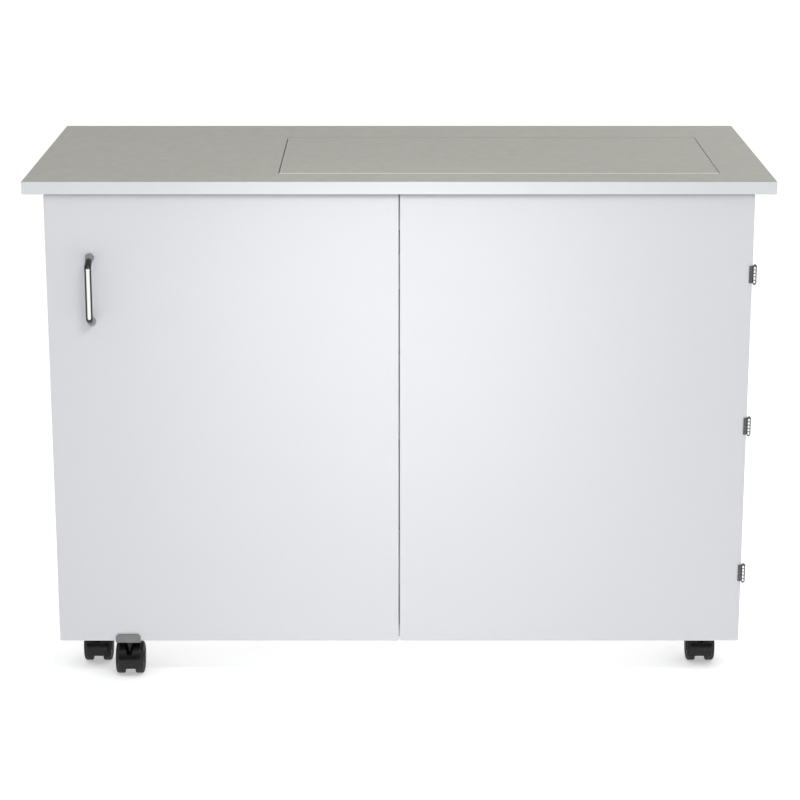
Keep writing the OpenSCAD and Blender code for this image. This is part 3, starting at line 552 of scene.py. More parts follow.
def in_laminate(obj, test):
    """Gives the faces that test picks the laminate instead of the banding."""
    obj.data.materials.append(LAMINATE)
    for polygon in obj.data.polygons:
        if test(polygon):
            polygon.material_index = 1
    return obj


def band_ring(name, rect, thick, arris, radius, body, node_name, test):
    """Edge banding with rounded outside arrises, thick millimetres into the board."""
    profile = eased(TOP_T, arris, arris)
    profile += [(thick, TOP_T), (thick, 0.0)]
    profile = [(i, h + top_low[2]) for i, h in profile]
    bm = bmesh.new()
    slab(bm, rect, profile, radius, 4, flat, ring=True)
    obj = in_laminate(to_object(name, bm, BAND), test)
    return piece(finish_mesh(obj, 50), body, "white_edge_band", node_name)


def opening_ring():
    """Lining of the machine opening in the laminate's colour, with its arrises inwards."""
    x0, y0, x1, y1 = OPENING
    outer = (x0 - OPEN_BAND, y0 - OPEN_BAND, x1 + OPEN_BAND, y1 + OPEN_BAND)
    r = 0.3
    profile = [(0.0, 0.0), (OPEN_BAND - r, 0.0), (OPEN_BAND, r), (OPEN_BAND, TOP_T - r),
        (OPEN_BAND - 0.3 * r, TOP_T - 0.3 * r), (OPEN_BAND - r, TOP_T), (0.0, TOP_T)]
    bm = bmesh.new()
    slab(bm, outer, [(i, h + top_low[2]) for i, h in profile], 0.0, 1, flat, ring=True)
    bmesh.ops.remove_doubles(bm, verts=bm.verts[:], dist=1e-7)
    obj = in_laminate(to_object("opening_lining", bm, BAND),
        lambda p: abs(p.normal.z) > 0.3 and p.center.y / MM > y0)
    return piece(finish_mesh(obj, 50), "cabinet", "grey_laminate_board")


def cover_ring():
    """The cover's banding: a pale front edge that is well rounded, and sharper sides in laminate."""
    thick, side_share = 1.0, 0.32
    profile = eased(TOP_T, 0.95, 0.95) + [(thick, TOP_T), (thick, 0.0)]
    bm = bmesh.new()
    loops = []
    for inset, height in profile:
        i = inset if inset == thick else inset * side_share
        points = [(cover_low[0] + i, cover_low[1] + inset), (cover_high[0] - i, cover_low[1] + inset),
            (cover_high[0] - i, cover_high[1] - i), (cover_low[0] + i, cover_high[1] - i)]
        loops.append([vert(bm, (x, y, top_low[2] + height)) for x, y in points])
    bridge(bm, loops, True)
    obj = in_laminate(to_object("cover_band", bm, BAND), lambda p: p.center.y / MM > cover_low[1] + 1.1)
    return piece(finish_mesh(obj, 50), "cover", "white_edge_band", "cover_edge_bands")


band_ring("tabletop_band", (top_low[0], top_low[1], top_high[0], top_high[1]), BAND_T, 0.9, 2.5,
    "cabinet", "tabletop_edge_bands", lambda p: abs(p.normal.z) > 0.6)
opening_ring()
cover_ring()
dress(["tabletop", "machine_cover"], LAMINATE)

# ---- Doors ----


def door(name, body, node_name, mortises):
    """A foil-wrapped panel with eased front edges and hinge mortises."""
    low, high = corners(node_name)
    thick = high[1] - low[1]
    bm = bmesh.new()
    slab(bm, (low[0], low[2], high[0], high[2]), eased(thick, 2.0, 0.5), 2.6, 5,
        lambda u, v, h: (u, low[1] + h, v))
    obj = to_object(name, bm, FOIL)
    if mortises:
        obj = combined(obj, made_of("mortises", [block_of(a, b) for a, b in mortises]), "DIFFERENCE")
    return piece(finish_mesh(obj, 40), body, "white_foil_board", node_name)


BARREL_H = 26.0
hinge_low, hinge_high = corners("side_hinge_frame_leaves")
HINGES = [hinge_low[2] + BARREL_H / 2, (hinge_low[2] + hinge_high[2]) / 2, hinge_high[2] - BARREL_H / 2]
right_low, right_high = corners("right_door_panel")
leaf_back = corners("side_hinge_door_leaves")[1][1]
door_front, door_back = right_low[1], right_high[1]
side_x = right_high[0]
door("right_door", "right_door", "right_door_panel",
    [((side_x - 1.5, door_front - 5, z - 13.2), (side_x + 5, leaf_back + 0.1, z + 13.2))
    for z in HINGES])
door("left_door", "left_door", "left_door_panel", [])

# ---- Boards ----

dress(["left_side_panel", "right_side_panel", "bottom_panel", "back_panel", "front_rail", "lift_platform"],
    MELAMINE, 0.5)

# ---- Hinges ----

SIDE_PIN = (side_x + 3.2, door_front - 0.8)
SIDE_KNUCKLE_H = BARREL_H / 5
SIDE_SCREW_Y, SIDE_SCREWS = -206, (-6, 6)
SEAM_SCREW_X, SEAM_SCREWS = 20, (-16, 0, 16)
LEAF_T = 1.5


def knuckle(x, y, z0, height, r, bore):
    """One rolled knuckle of a butt hinge, open in the middle for its pin."""
    return round_of("z", x, y, z0, [(bore, 0), (r - 0.35, 0), (r, 0.35), (r, height - 0.35),
        (r - 0.35, height), (bore, height), (bore, 0)], 32)


def ring_shape(name, finish, items):
    """Closed rings made by round_of, welded where their first and last loops meet."""
    bm = bmesh.new()
    for item in items:
        item(bm)
    for face in [f for f in bm.faces if len(f.verts) > 4]:
        bm.faces.remove(face)
    bmesh.ops.remove_doubles(bm, verts=bm.verts[:], dist=1e-6)
    return finish_mesh(to_object(name, bm, finish), 40)


def side_hinges():
    """Three surface hinges: knuckles, a lip on the door's front, leaves with countersinks, and pins."""
    x, y = SIDE_PIN
    step, edge = SIDE_KNUCKLE_H, side_x - 0.2
    door_parts, frame_parts, pin_parts = [], [], []
    for z in HINGES:
        z0, top = z - BARREL_H / 2, z + BARREL_H / 2
        for parts, name, group in ((door_parts, "odd", (1, 3)), (frame_parts, "even", (0, 2, 4))):
            parts.append(ring_shape(name, KNUCKLE, [
                knuckle(x, y, z0 + i * step + 0.3, step - 0.6, 2.98, 1.28) for i in group]))
        tongues = [block_of((side_x - 0.5, door_front - 1.2, z0 + i * step + 0.15),
            (x - 2.2, door_front - 0.05, z0 + (i + 1) * step - 0.15)) for i in (1, 3)]
        door_parts.append(shape("lip", HINGE_LIP, [
            block_of((side_x - 5, door_front - 1.2, z0 + 0.05), (edge, door_front, top - 0.05)),
            block_of((side_x - 1.4, door_front - 0.6, z0 + 0.05), (edge, leaf_back, top - 0.05))] + tongues,
            (), 0.22))
        screw_holes = [
            round_of("x", edge, SIDE_SCREW_Y, z + dz, [(1.9, 0), (1.9, 0.8), (2.6, 1.2), (2.6, 3)])
            for dz in SIDE_SCREWS]
        webs = [block_of((side_x + 0.1, y + 1.5, z0 + i * step + 0.12),
            (side_x + 1.3, y + 8, z0 + (i + 1) * step - 0.12)) for i in (0, 2, 4)]
        frame_parts.append(shape("leaf", NICKEL, [
            block_of((side_x + 0.1, y + 3.6, z0), (side_x + 1.3, hinge_high[1], top))] + webs,
            [screw_holes], 0.2))
        profile = [(0.8, 0), (1.6, 0.5), (2.98, 2.3), (2.98, 2.58), (1.2, 2.62)]
        profile += [(r, BARREL_H + h) for r, h in
            ((1.2, 2.74), (2.98, 2.78), (2.98, 3.06), (1.6, 4.86), (0.8, 5.36))]
        pin_parts.append(shape("pin", HINGE_LIP, [round_of("z", x, y, z0 - 2.68, profile)]))
    for parts, name, body, node_name in (
            (door_parts, "side_hinge_door_half", "right_door", "side_hinge_door_leaves"),
            (frame_parts, "side_hinge_frame_half", "cabinet", "side_hinge_frame_leaves"),
            (pin_parts, "side_hinge_pin_set", "cabinet", "side_hinge_pins")):
        piece(joined(name, parts), body, "nickel_steel", node_name)


def seam_hinges():
    """Three butt hinges behind the seam, each with five knuckles, three screw holes a leaf and a pin."""
    y = door_back + 4
    leaf_front = door_back + LEAF_T
    height, r, step = 50.0, 3.8, 10.0
    halves = {1: [], -1: []}
    pins = []
    for z in HINGES:
        z0 = z - height / 2
        for side, group in ((1, (0, 2, 4)), (-1, (1, 3))):
            def strip(near, far, low, high):
                ends = sorted((side * near, side * far))
                return block_of((ends[0], door_back, low), (ends[1], leaf_front, high))

            halves[side].append(ring_shape("knuckles", ZINC, [
                knuckle(0, y, z0 + i * step + 0.15, step - 0.3, r, 2.05) for i in group]))
            adds = [strip(4.5, 30.5, z0, z0 + height)]
            adds += [strip(1.6, 7, z0 + i * step + 0.16, z0 + (i + 1) * step - 0.16) for i in group]
            holes = [round_of("y", side * SEAM_SCREW_X, door_back - 1, z + dz,
                [(2.0, 0), (2.0, 1.8), (3.1, 2.6), (3.1, 4)]) for dz in SEAM_SCREWS]
            halves[side].append(shape("leaf", ZINC, adds, [holes], 0.25))
        profile = [(2.4, 0), (3.0, 0.4), (3.0, 1.2), (2.0, 1.25)]
        profile += [(r_pin, height + h) for r_pin, h in ((2.0, 1.35), (3.0, 1.4), (3.0, 2.2), (2.4, 2.6))]
        pins.append(shape("pin", ZINC, [round_of("z", 0, y, z0 - 1.3, profile)]))
    for parts, name, body, node_name in (
            (halves[1], "seam_hinge_right_half", "right_door", "center_hinge_right_leaves"),
            (halves[-1], "seam_hinge_left_half", "left_door", "center_hinge_left_leaves"),
            (pins, "seam_hinge_pin_set", "left_door", "center_hinge_pins")):
        piece(joined(name, parts), body, "zinc_steel", node_name)


side_hinges()
seam_hinges()
dress(["top_brackets", "cover_support_tabs", "caster_plates"], ZINC, 0.3)
dress(["door_caster_bracket"], BRACKET, 0.45, 3)

# ---- Screws and bolts ----


def fitted(bm, start, place, direction):
    """Moves the corners made since start from the Z axis to place, facing direction."""
    turn = Vector(direction).to_track_quat("Z", "X").to_matrix().to_4x4()
    bm.verts.ensure_lookup_table()
    bmesh.ops.transform(bm, matrix=Matrix.Translation(Vector(place) * MM) @ turn, verts=bm.verts[start:])


def screw_head(bm, place, direction, radius, length, shank=1.7):
    """A pan head with a cross recess and a shank; place is the middle of its seat."""
    start = len(bm.verts)
    profile = [(shank * 0.3, -length), (shank, -length + 2.5), (shank, 0.05), (radius, 0.05), (radius, 0.6),
        (radius * 0.93, 1.1), (radius * 0.75, 1.5), (radius * 0.45, 1.72), (radius * 0.3, 0.9),
        (0, 0.6)]
    solid_turned(bm, profile, 20, lambda x, y, h: (x, y, h))
    bm.verts.ensure_lookup_table()
    for v in bm.verts[start:]:
        if v.co.z > 0.0008 and hypot(v.co.x, v.co.y) / MM < radius * 0.5:
            lobe = 0.75 + 0.45 * abs(cos(2 * atan2(v.co.y, v.co.x))) ** 3
            v.co.x *= lobe
            v.co.y *= lobe
    fitted(bm, start, place, direction)


def socket_bolt(bm, place, direction, radius, length):
    """A cap head with a knurled rim and a hexagon socket, placed in the same way."""
    start = len(bm.verts)
    profile = [(1.3, -length), (1.95, -length + 0.8), (1.95, 0.05), (radius, 0.05), (radius, 3.6),
        (radius - 0.35, 3.95), (1.9, 3.95), (1.6, 3.7), (1.6, 2.1), (0, 2.0)]
    solid_turned(bm, profile, 36, lambda x, y, h: (x, y, h))
    bm.verts.ensure_lookup_table()
    for v in bm.verts[start:]:
        r = hypot(v.co.x, v.co.y) / MM
        a = degrees(atan2(v.co.y, v.co.x))
        if v.co.z > 0.0015 and abs(r - 1.6) < 0.01:
            grow = 0.9 / cos(radians((a + 30) % 60 - 30))
            v.co.x *= grow
            v.co.y *= grow
        elif abs(r - radius) < 0.01 and round(a / 10) % 2:
            v.co.x *= 0.965
            v.co.y *= 0.965
    fitted(bm, start, place, direction)


def fasteners(name, body, node_name, items, extra=()):
    """One object for all the fasteners of a node: (maker, place, direction, radius, length)."""
    bm = bmesh.new()
    for make, place, direction, radius, length in items:
        make(bm, place, direction, radius, length)
    obj = finish_mesh(to_object(name, bm, ZINC), 45)
    if extra:
        obj = joined(name, [obj] + list(extra))
        obj.name = name
    return piece(obj, body, "zinc_steel", node_name)


BACK, FRONT, DOWN, RIGHT = (0, 1, 0), (0, -1, 0), (0, 0, -1), (1, 0, 0)
HEAD_R = 3.6
handle_low, handle_high = corners("door_handle")
handle_x = (handle_low[0] + handle_high[0]) / 2
handle_z = (handle_low[2] + handle_high[2]) / 2
HANDLE_PITCH = 96.0
bracket_low, bracket_high = corners("door_caster_bracket")
bracket_x = (bracket_low[0] + bracket_high[0]) / 2


def hinge_screws(side):
    """The seam hinges' screws into one door."""
    return [(screw_head, (side * SEAM_SCREW_X, door_back + LEAF_T, z + dz), BACK, 3.2, 10)
        for z in HINGES for dz in SEAM_SCREWS]


fasteners("right_door_screw_set", "right_door", "right_door_screws", hinge_screws(1))
fasteners("left_door_screw_set", "left_door", "left_door_screws", hinge_screws(-1)
    + [(screw_head, (handle_x, door_back, handle_z + s * HANDLE_PITCH / 2), BACK, HEAD_R, 24)
    for s in (-1, 1)]
    + [(screw_head, (bracket_x + s * 13, door_back + 2, right_low[2] + 5.5), BACK, 3.0, 10)
    for s in (-1, 1)])

CASTERS = {name: corners(name + "_caster_hood") for name in
    ("front_left", "front_right", "rear_left", "rear_right", "door")}
TRAIL = 11.0
WHEEL_R = 25.0
kingpins = {name: ((low[0] + high[0]) / 2, low[1] + 28.0 - TRAIL) for name, (low, high) in CASTERS.items()}
open_x = (cover_low[0] + cover_high[0]) / 2
open_y = (OPENING[1] + OPENING[3]) / 2
inner_x = corners("right_side_panel")[0][0]
plate_front = corners("lift_back_plate")[0][1]
back_face = corners("lift_back_plate")[1][1]
top_under = top_low[2]

# The lift: its plane, the parts' lower ends, and their bolts' distances from the middle.
LIFT_Y = back_face - 59
block_front = LIFT_Y - 17
CARRIAGE_Y = LIFT_Y - 23
RODS = [open_x - 200, open_x + 200]
ROD_R, SCREW_R = 8.0, 7.0
MOTOR_Z, GEARBOX_Z, COUPLING_Z, NUT_Z = 84.0, 170.0, 203.0, 329.5
ROD_BLOCK_Z, BEARING_Z, BUSH_Z = (92.0, 741.0), (236.0, 741.0), (290.0, 383.0)
BLOCK_BOLTS, GEAR_BOLTS, BUSH_BOLTS, NUT_BOLTS = ((-d, d) for d in (14.5, 21.75, 13, 12.35))
ARM_EDGES = [open_x + s * 150 + d for s in (-1, 1) for d in (-9, 9)]
block_bolt_places = [(x + d, z + 9) for x in RODS for d in BLOCK_BOLTS for z in ROD_BLOCK_Z]
block_bolt_places += [(open_x + d, z + 8) for d in BLOCK_BOLTS for z in BEARING_Z]
block_bolt_places += [(open_x + d, GEARBOX_Z + 9) for d in GEAR_BOLTS]

# The electrics' places.
BOX_SCREWS = [(x, z) for x in (399, 487) for z in (575, 635)]
INLET_X, INLET_Z, INLET_SCREW = 443.0, 605.0, 29
SWITCH_X, SWITCH_Y, SWITCH_Z, SWITCH_SCREW = 430.0, -210.0, 677.0, 24


def cabinet_items():
    """Places of all the cabinet's own screws and bolts."""
    x0, y0, x1, y1 = OPENING
    items = []
    for name, (x, y) in kingpins.items():
        if name != "door":
            items += [(screw_head, (x + a, y + b, 58), DOWN, HEAD_R, 14)
                for a in (-16, 16) for b in (-16, 16)]
    tab_z, tab_out = top_under - 2, 5.75
    tabs = [(x + s, y) for x in (x0 + 90, x1 - 90) for y in (y0 - tab_out, y1 + tab_out) for s in (-10, 10)]
    tabs += [(x, open_y + s) for x in (x0 - tab_out, x1 + tab_out) for s in (-10, 10)]
    items += [(screw_head, (x, y, tab_z), DOWN, HEAD_R, 12) for x, y in tabs]
    for y in (-120, 20, 200):
        for s in (-1, 1):
            items.append((screw_head, (s * (inner_x - 15), y, tab_z), DOWN, HEAD_R, 12))
            items.append((screw_head, (s * (inner_x - 2), y, top_under - 16), (-s, 0, 0), HEAD_R, 12))
    items += [(screw_head, (open_x + s, plate_front, z), FRONT, HEAD_R, 12)
        for s in (-228, 228) for z in (120, 420, 735)]
    items += [(screw_head, (side_x + 1.3, SIDE_SCREW_Y, z + dz), RIGHT, 2.8, 11)
        for z in HINGES for dz in SIDE_SCREWS]
    items += [(socket_bolt, (x, block_front, z), FRONT, 3.5, 84) for x, z in block_bolt_places]
    items += [(screw_head, (x, back_face - 2.5, z), FRONT, HEAD_R, 9) for x, z in BOX_SCREWS]
    items += [(screw_head, (INLET_X, 259.5, INLET_Z + s * INLET_SCREW), BACK, 3.2, 10) for s in (-1, 1)]
    items += [(screw_head, (SWITCH_X + s * SWITCH_SCREW, SWITCH_Y + 13, SWITCH_Z), DOWN, 3.2, 34)
        for s in (-1, 1)]
    return items


def cam_parts():
    """The knock-down fittings' cams, with cross slots, and their bolts into the side panels."""
    reach = inner_x - 24
    faces = [(s * reach, y, 78.0, "z") for s in (-1, 1) for y in (-140, 150)]
    faces += [(s * reach, -194.0, 731.0, "y") for s in (-1, 1)]
    bodies, slots_a, slots_b, bolts = [], [], [], []
    for x, y, z, axis in faces:
        if axis == "z":
            bodies.append(pin_of("z", x, y, z - 12.45, 7.45, 11.95, 0.5))
            slots_a.append(block_of((x - 4, y - 0.7, z - 3), (x + 4, y + 0.7, z + 1)))
            slots_b.append(block_of((x - 0.7, y - 4, z - 3), (x + 0.7, y + 4, z + 1)))
            bolt_y, bolt_z = y, z - 9
        else:
            bodies.append(pin_of("y", x, y - 12.45, z, 7.45, 11.95, 0.5))
            slots_a.append(block_of((x - 4, y - 3, z - 0.7), (x + 4, y + 1, z + 0.7)))
            slots_b.append(block_of((x - 0.7, y - 3, z - 4), (x + 0.7, y + 1, z + 4)))
            bolt_y, bolt_z = y - 9, z
        start = x + 7.8 if x > 0 else x - 33.9
        profile = [(2.4, 0), (2.95, 0.6), (2.95, 25.5), (2.4, 26.1)]
        bolts.append(round_of("x", start, bolt_y, bolt_z, profile, 24))
    cams = made_of("cams", bodies)
    for group in (slots_a, slots_b):
        cams = combined(cams, made_of("slots", group), "DIFFERENCE")
    return [finish_mesh(recoat(obj, ZINC), 40) for obj in (cams, made_of("cam_bolts", bolts))]


fasteners("cabinet_fastener_set", "cabinet", "cabinet_fasteners", cabinet_items(), cam_parts())

# ---- Handle ----


def smooth_path(points, steps):
    """Catmull-Rom curve through points."""
    out = []
    for i in range(len(points) - 1):
        p0 = Vector(points[max(i - 1, 0)])
        p1, p2 = Vector(points[i]), Vector(points[i + 1])
        p3 = Vector(points[min(i + 2, len(points) - 1)])
        for k in range(steps):
            t = k / steps
            out.append(0.5 * ((2 * p1) + (p2 - p0) * t + (2 * p0 - 5 * p1 + 4 * p2 - p3) * t * t
                + (3 * p1 - p0 - 3 * p2 + p3) * t ** 3))
    out.append(Vector(points[-1]))
    return out


def handle():
    """A bow handle: flared feet, tight bends and a straight round bar."""
    face = door_front
    bar_y = handle_low[1] + 5.2
    half = [(face - 0.1, 48.4), (face - 5, 47.2), (face - 11, 45.1), (face - 16, 43.2),
        (face - 20.5, 41.1), (face - 24.4, 38.6), (bar_y, 34.0)]
    points = [(handle_x, y, handle_z + z) for y, z in half]
    points += [(handle_x, bar_y, handle_z + z) for z in (24, 12, 0, -12, -24)]
    points += [(handle_x, y, handle_z - z) for y, z in reversed(half)]
    path = smooth_path(points, 4)
    radii = []
    for p in path:
        near = min(1.0, max(0.0, (p.y - (face - 14.0)) / 14.0))
        radii.append(5.15 + 1.7 * near ** 1.6)
    bm = bmesh.new()
    tube(bm, path, radii, 28)
    obj = to_object("bow_handle", bm, CHROME, CHROME_FOOT_SHADE, CHROME_BEND_SHADE)
    # The feet take the darker chrome and the bends the near-black chrome: painted shade.
    for polygon in obj.data.polygons:
        place = polygon.center / MM
        if place.y > face - 13.0:
            polygon.material_index = 1
        elif abs(place.z - handle_z) > 38.0:
            polygon.material_index = 2
    return piece(finish_mesh(obj, 50), "left_door", "chrome", "door_handle")


handle()

# ---- Casters ----

WHEEL_GAP = 8.55
WHEEL_W = 13.9
AXLE_BORE = 3.05


def wheel_profile():
    """(radius, distance from the inner face) round half a section of a wheel."""
    points = [(AXLE_BORE, 0.0), (20.0, 0.0), (21.0, 0.8), (22.5, 0.8), (23.2, 0.0), (24.1, 0.0),
        (25.0, 1.0)]
    tread_start = len(points) - 1
    points += [(25.0, 4.0), (25.0, 8.7)]
    points += [(21.0 + 4.0 * cos(radians(a)), 8.9 + 4.0 * sin(radians(a))) for a in range(8, 91, 12)]
    tread_end = len(points) - 4
    points += [(20.2, 12.9), (19.4, 12.2), (17.8, 12.0), (16.9, 11.3), (10.6, 11.0), (9.6, 12.2),
        (8.7, 13.4), (6.5, WHEEL_W), (2.0, WHEEL_W), (0.0, WHEEL_W - 0.1)]
    return points, tread_start, tread_end


def wheel(name, caster, side, body):
    """One twin wheel with a stepped disc, hub cap and lighter tread."""
    x, y = kingpins[caster]
    points, start, end = wheel_profile()
    points = points + [(0.0, 11.2), (AXLE_BORE, 11.2), (AXLE_BORE, 0.0)]
    centre_y = y + TRAIL
    bm = bmesh.new()
    turned(bm, points, 72, lambda a, b, h: (x + side * (WHEEL_GAP + h), centre_y + a, WHEEL_R + b),
        lambda i: 1 if start <= i < end else 0)
    bmesh.ops.remove_doubles(bm, verts=bm.verts[:], dist=1e-7)
    obj = to_object(name, bm, WHEEL, TREAD)
    node_name = f"{caster}_caster_wheel_{'l' if side < 0 else 'r'}"
    return piece(finish_mesh(obj, 40), body, "black_wheel_plastic", node_name)


HOOD_HALF = 17.45
STEM_BORE = 4.05


def hood_shell(name, x, y):
    """The curved cover over both wheels, with rounded side edges."""
    section = [(-HOOD_HALF, 26.1), (-HOOD_HALF, 26.5)]
    section += [(-HOOD_HALF + 2.0 - 2.0 * cos(radians(a)), 25.9 + 2.0 * sin(radians(a)))
        for a in (20, 45, 70, 90)]
    section += [(-s, r) for s, r in reversed(section)]
    front_lip, rear_lip, steps = 201.5, 19.5, 44
    bm = bmesh.new()
    loops = []
    for k in range(steps + 1):
        a = radians(rear_lip + (front_lip - rear_lip) * k / steps)
        loops.append([vert(bm, (x + s, y + TRAIL + r * cos(a),
            WHEEL_R + r * sin(a))) for s, r in section])
    capped(bm, loops)
    return to_object(name, bm, HOOD)


def hood(caster, body):
    """A twin-wheel hood: shell, centre web, notch round the stem, and the swivel boss."""
    x, y = kingpins[caster]
    web = made_of("web", [round_of("x", x, y + TRAIL, WHEEL_R, [(26.6, -7.7), (26.6, 7.7)], 64)])
    web = combined(web, made_of("trim", [block_of((x - 12, y - 40, -5), (x + 12, y + 60, 15.6))]),
        "DIFFERENCE")
    shell = combined(hood_shell(caster + "_hood", x, y), web, "UNION")
    notch = bmesh.new()
    prism(notch, [(-8.8, 60.0), (8.8, 60.0), (3.6, 37.0), (-3.6, 37.0)], -30, 4.5,
        lambda u, v, h: (x + u, y + h, v))
    shell = combined(shell, to_object("notch", notch), "DIFFERENCE")
    boss = [(5.0, 34.0), (5.0, 40.0), (5.0, 44.0), (5.2, 53.5), (7.0, 54.6), (9.5, 55.0), (9.8, 55.4),
        (9.8, 57.2), (9.4, 57.45), (STEM_BORE, 57.45)]
    shell = combined(shell, made_of("boss", [round_of("z", x, y, 0, boss, 40)]), "UNION")
    bore = [(STEM_BORE, 33.0), (STEM_BORE, 60.0)]
    shell = combined(shell, made_of("bore", [round_of("z", x, y, 0, bore, 40)]), "DIFFERENCE")
    with_bevel(recoat(shell, HOOD), 0.35, 2, 40.0)
    return piece(finish_mesh(shell, 40), body, "dark_grey_plastic", caster + "_caster_hood")


def axle(caster, body):
    """The steel axle through a hood's web."""
    x, y = kingpins[caster]
    profile = [(2.5, -19.4), (2.95, -18.9), (2.95, 18.9), (2.5, 19.4)]
    obj = made_of(caster + "_axle", [round_of("x", x, y + TRAIL, WHEEL_R, profile, 24)])
    return piece(finish_mesh(recoat(obj, BRIGHT), 40), body, "bright_steel")


for caster in CASTERS:
    hood(caster, caster + "_caster")
    axle(caster, caster + "_caster")
    for side, letter in ((-1, "l"), (1, "r")):
        wheel(f"{caster}_wheel_{letter}_disc", caster, side, f"{caster}_wheel_{letter}")

# ---- Lift ----

dress(["lift_back_plate", "carriage_plate"], POWDER, 0.4)
dress(["platform_arms"], POWDER, 0.5)


def block_bores(x, y, z, r, depth, bolts, bolt_z, bolt_r, length):
    """The cuts of a block on the lift: bolt holes from its front, and the bore for a rod or the screw."""
    return [[hole("y", x + d, y - 1, bolt_z, bolt_r, length) for d in bolts],
        [hole("z", x, LIFT_Y, z - 1, r + 0.06, depth, 48)]]


def washer(name, finish, x, z, r, profile):
    """A ring round a rod or the screw, open in the middle."""
    inner = r + 0.1
    height = profile[-1][1]
    return ring_shape(name, finish, [round_of("z", x, LIFT_Y, z, [
        (inner, 0)] + profile + [(inner, height), (inner, 0)], 48)])


def guide_rods():
    """Two ground rods with chamfered ends."""
    low, high = corners("guide_rods")
    for label, x in zip(("left", "right"), RODS):
        obj = shape(label + "_guide_rod", ROD, [
            pin_of("z", x, LIFT_Y, low[2], ROD_R - 0.02, high[2] - low[2], 1.2, 48)])
        piece(obj, "cabinet", "bright_steel", *(["guide_rods"] if label == "left" else []))


def rod_blocks():
    """Cast blocks at the rods' ends, rounded, with bolt holes and a clamp slit."""
    parts = []
    for x in RODS:
        for z0 in ROD_BLOCK_Z:
            body = block_of((x - 21, block_front, z0), (x + 21, plate_front, z0 + 18))
            cuts = block_bores(x, block_front, z0, ROD_R, 20, BLOCK_BOLTS, z0 + 9, 2.1, 90)
            slit = [block_of((x - 0.8, block_front - 1, z0 - 1), (x + 0.8, LIFT_Y - 4, z0 + 19))]
            parts.append(shape("block", CAST, [body], cuts + [slit], 1.1, 3))
    piece(joined("rod_end_blocks", parts), "cabinet", "cast_aluminium", "rod_blocks")


def motor():
    """A tube motor: end bells with vents, a banded can, and a terminal box with a gland."""
    x, z0, r = open_x, MOTOR_Z, 23.0
    profile = [(19.5, 0), (21.8, 0.6), (22.6, 2.0), (22.6, 9.0), (21.6, 9.6), (21.6, 11.0), (22.9, 11.6),
        (22.9, 70.0), (21.6, 70.6), (21.6, 72.0), (r - 0.1, 72.6), (r - 0.1, 84.6), (22.0, 86.0)]
    can = shape("can", ENAMEL, [round_of("z", x, LIFT_Y, z0, profile, 64)])
    terminal = shape("terminal", PLASTIC, [
        block_of((x + 19, LIFT_Y - 8, z0 + 10), (x + 25.6, LIFT_Y + 8, z0 + 24)),
        pin_of("x", x + 25, LIFT_Y, z0 + 17, 4.2, 2.0, 0.3, 24)], (), 0.8, 3)
    angles = [radians(k) for k in range(0, 360, 45)]
    vents = [hole("z", x + 13 * cos(a), LIFT_Y + 13 * sin(a), z0 - 1, 2.0, 3, 12) for a in angles]
    can = finish_mesh(recoat(combined(can, made_of("vents", vents), "DIFFERENCE"), ENAMEL), 40)
    piece(joined("lift_motor_can", [can, terminal]), "cabinet", "black_metal", "lift_motor")


def gearbox():
    """The gearbox: a cast flange block, a ribbed nose cover and a bearing boss."""
    x, z0 = open_x, GEARBOX_Z
    adds = [block_of((x - 28, block_front, z0), (x + 28, plate_front, z0 + 30)),
        block_of((x - 16, block_front - 9, z0), (x + 16, LIFT_Y, z0 + 30)),
        round_of("z", x, LIFT_Y, z0 + 29, [(14, 0), (14, 2.4), (13.3, 3.0)], 48)]
    holes = [hole("y", x + d, block_front - 10, z0 + 9, 2.1, 95) for d in GEAR_BOLTS]
    bore = [hole("z", x, LIFT_Y, z0 + 18, 4.06, 20, 32)]
    seam = [block_of((x + a, block_front - 2.0, z0 - 1), (x + b, block_front + 0.8, z0 + 0.6))
        for a, b in ((-40, -15.4), (15.4, 40))]
    ribs = [block_of((x + d - 1.2, block_front - 10, z0 + 4), (x + d + 1.2, block_front - 8, z0 + 26))
        for d in (-10, -5, 0, 5, 10)]
    body = shape("body", CAST, adds, [holes, bore, seam, ribs], 0.8, 3)
    piece(joined("lift_gearbox_case", [body]), "cabinet", "cast_aluminium", "lift_gearbox")


def bearings():
    """Two pillow blocks with a pressed ball bearing's ring and seal."""
    parts = []
    for z0 in BEARING_Z:
        body = block_of((open_x - 20, block_front, z0), (open_x + 20, plate_front, z0 + 16))
        cuts = block_bores(open_x, block_front, z0, SCREW_R, 20, BLOCK_BOLTS, z0 + 8, 2.1, 90)
        seats = [round_of("z", open_x, LIFT_Y, z0 + 14.6, [(12.5, 0), (12.5, 3)], 48),
            round_of("z", open_x, LIFT_Y, z0 - 2, [(12.5, 0), (12.5, 3.4)], 48)]
        parts.append(shape("block", CAST, [body], cuts + [seats], 1.1, 3))
        for z in (z0 + 0.9, z0 + 13.7):
            parts.append(washer("race", BRIGHT, open_x, z, SCREW_R, [
                (12.3, 0), (12.3, 1.4), (11.4, 1.4), (11.2, 1.0), (8.6, 1.0), (8.4, 1.4)]))
    piece(joined("screw_pillow_blocks", parts), "cabinet", "cast_aluminium", "screw_bearings")


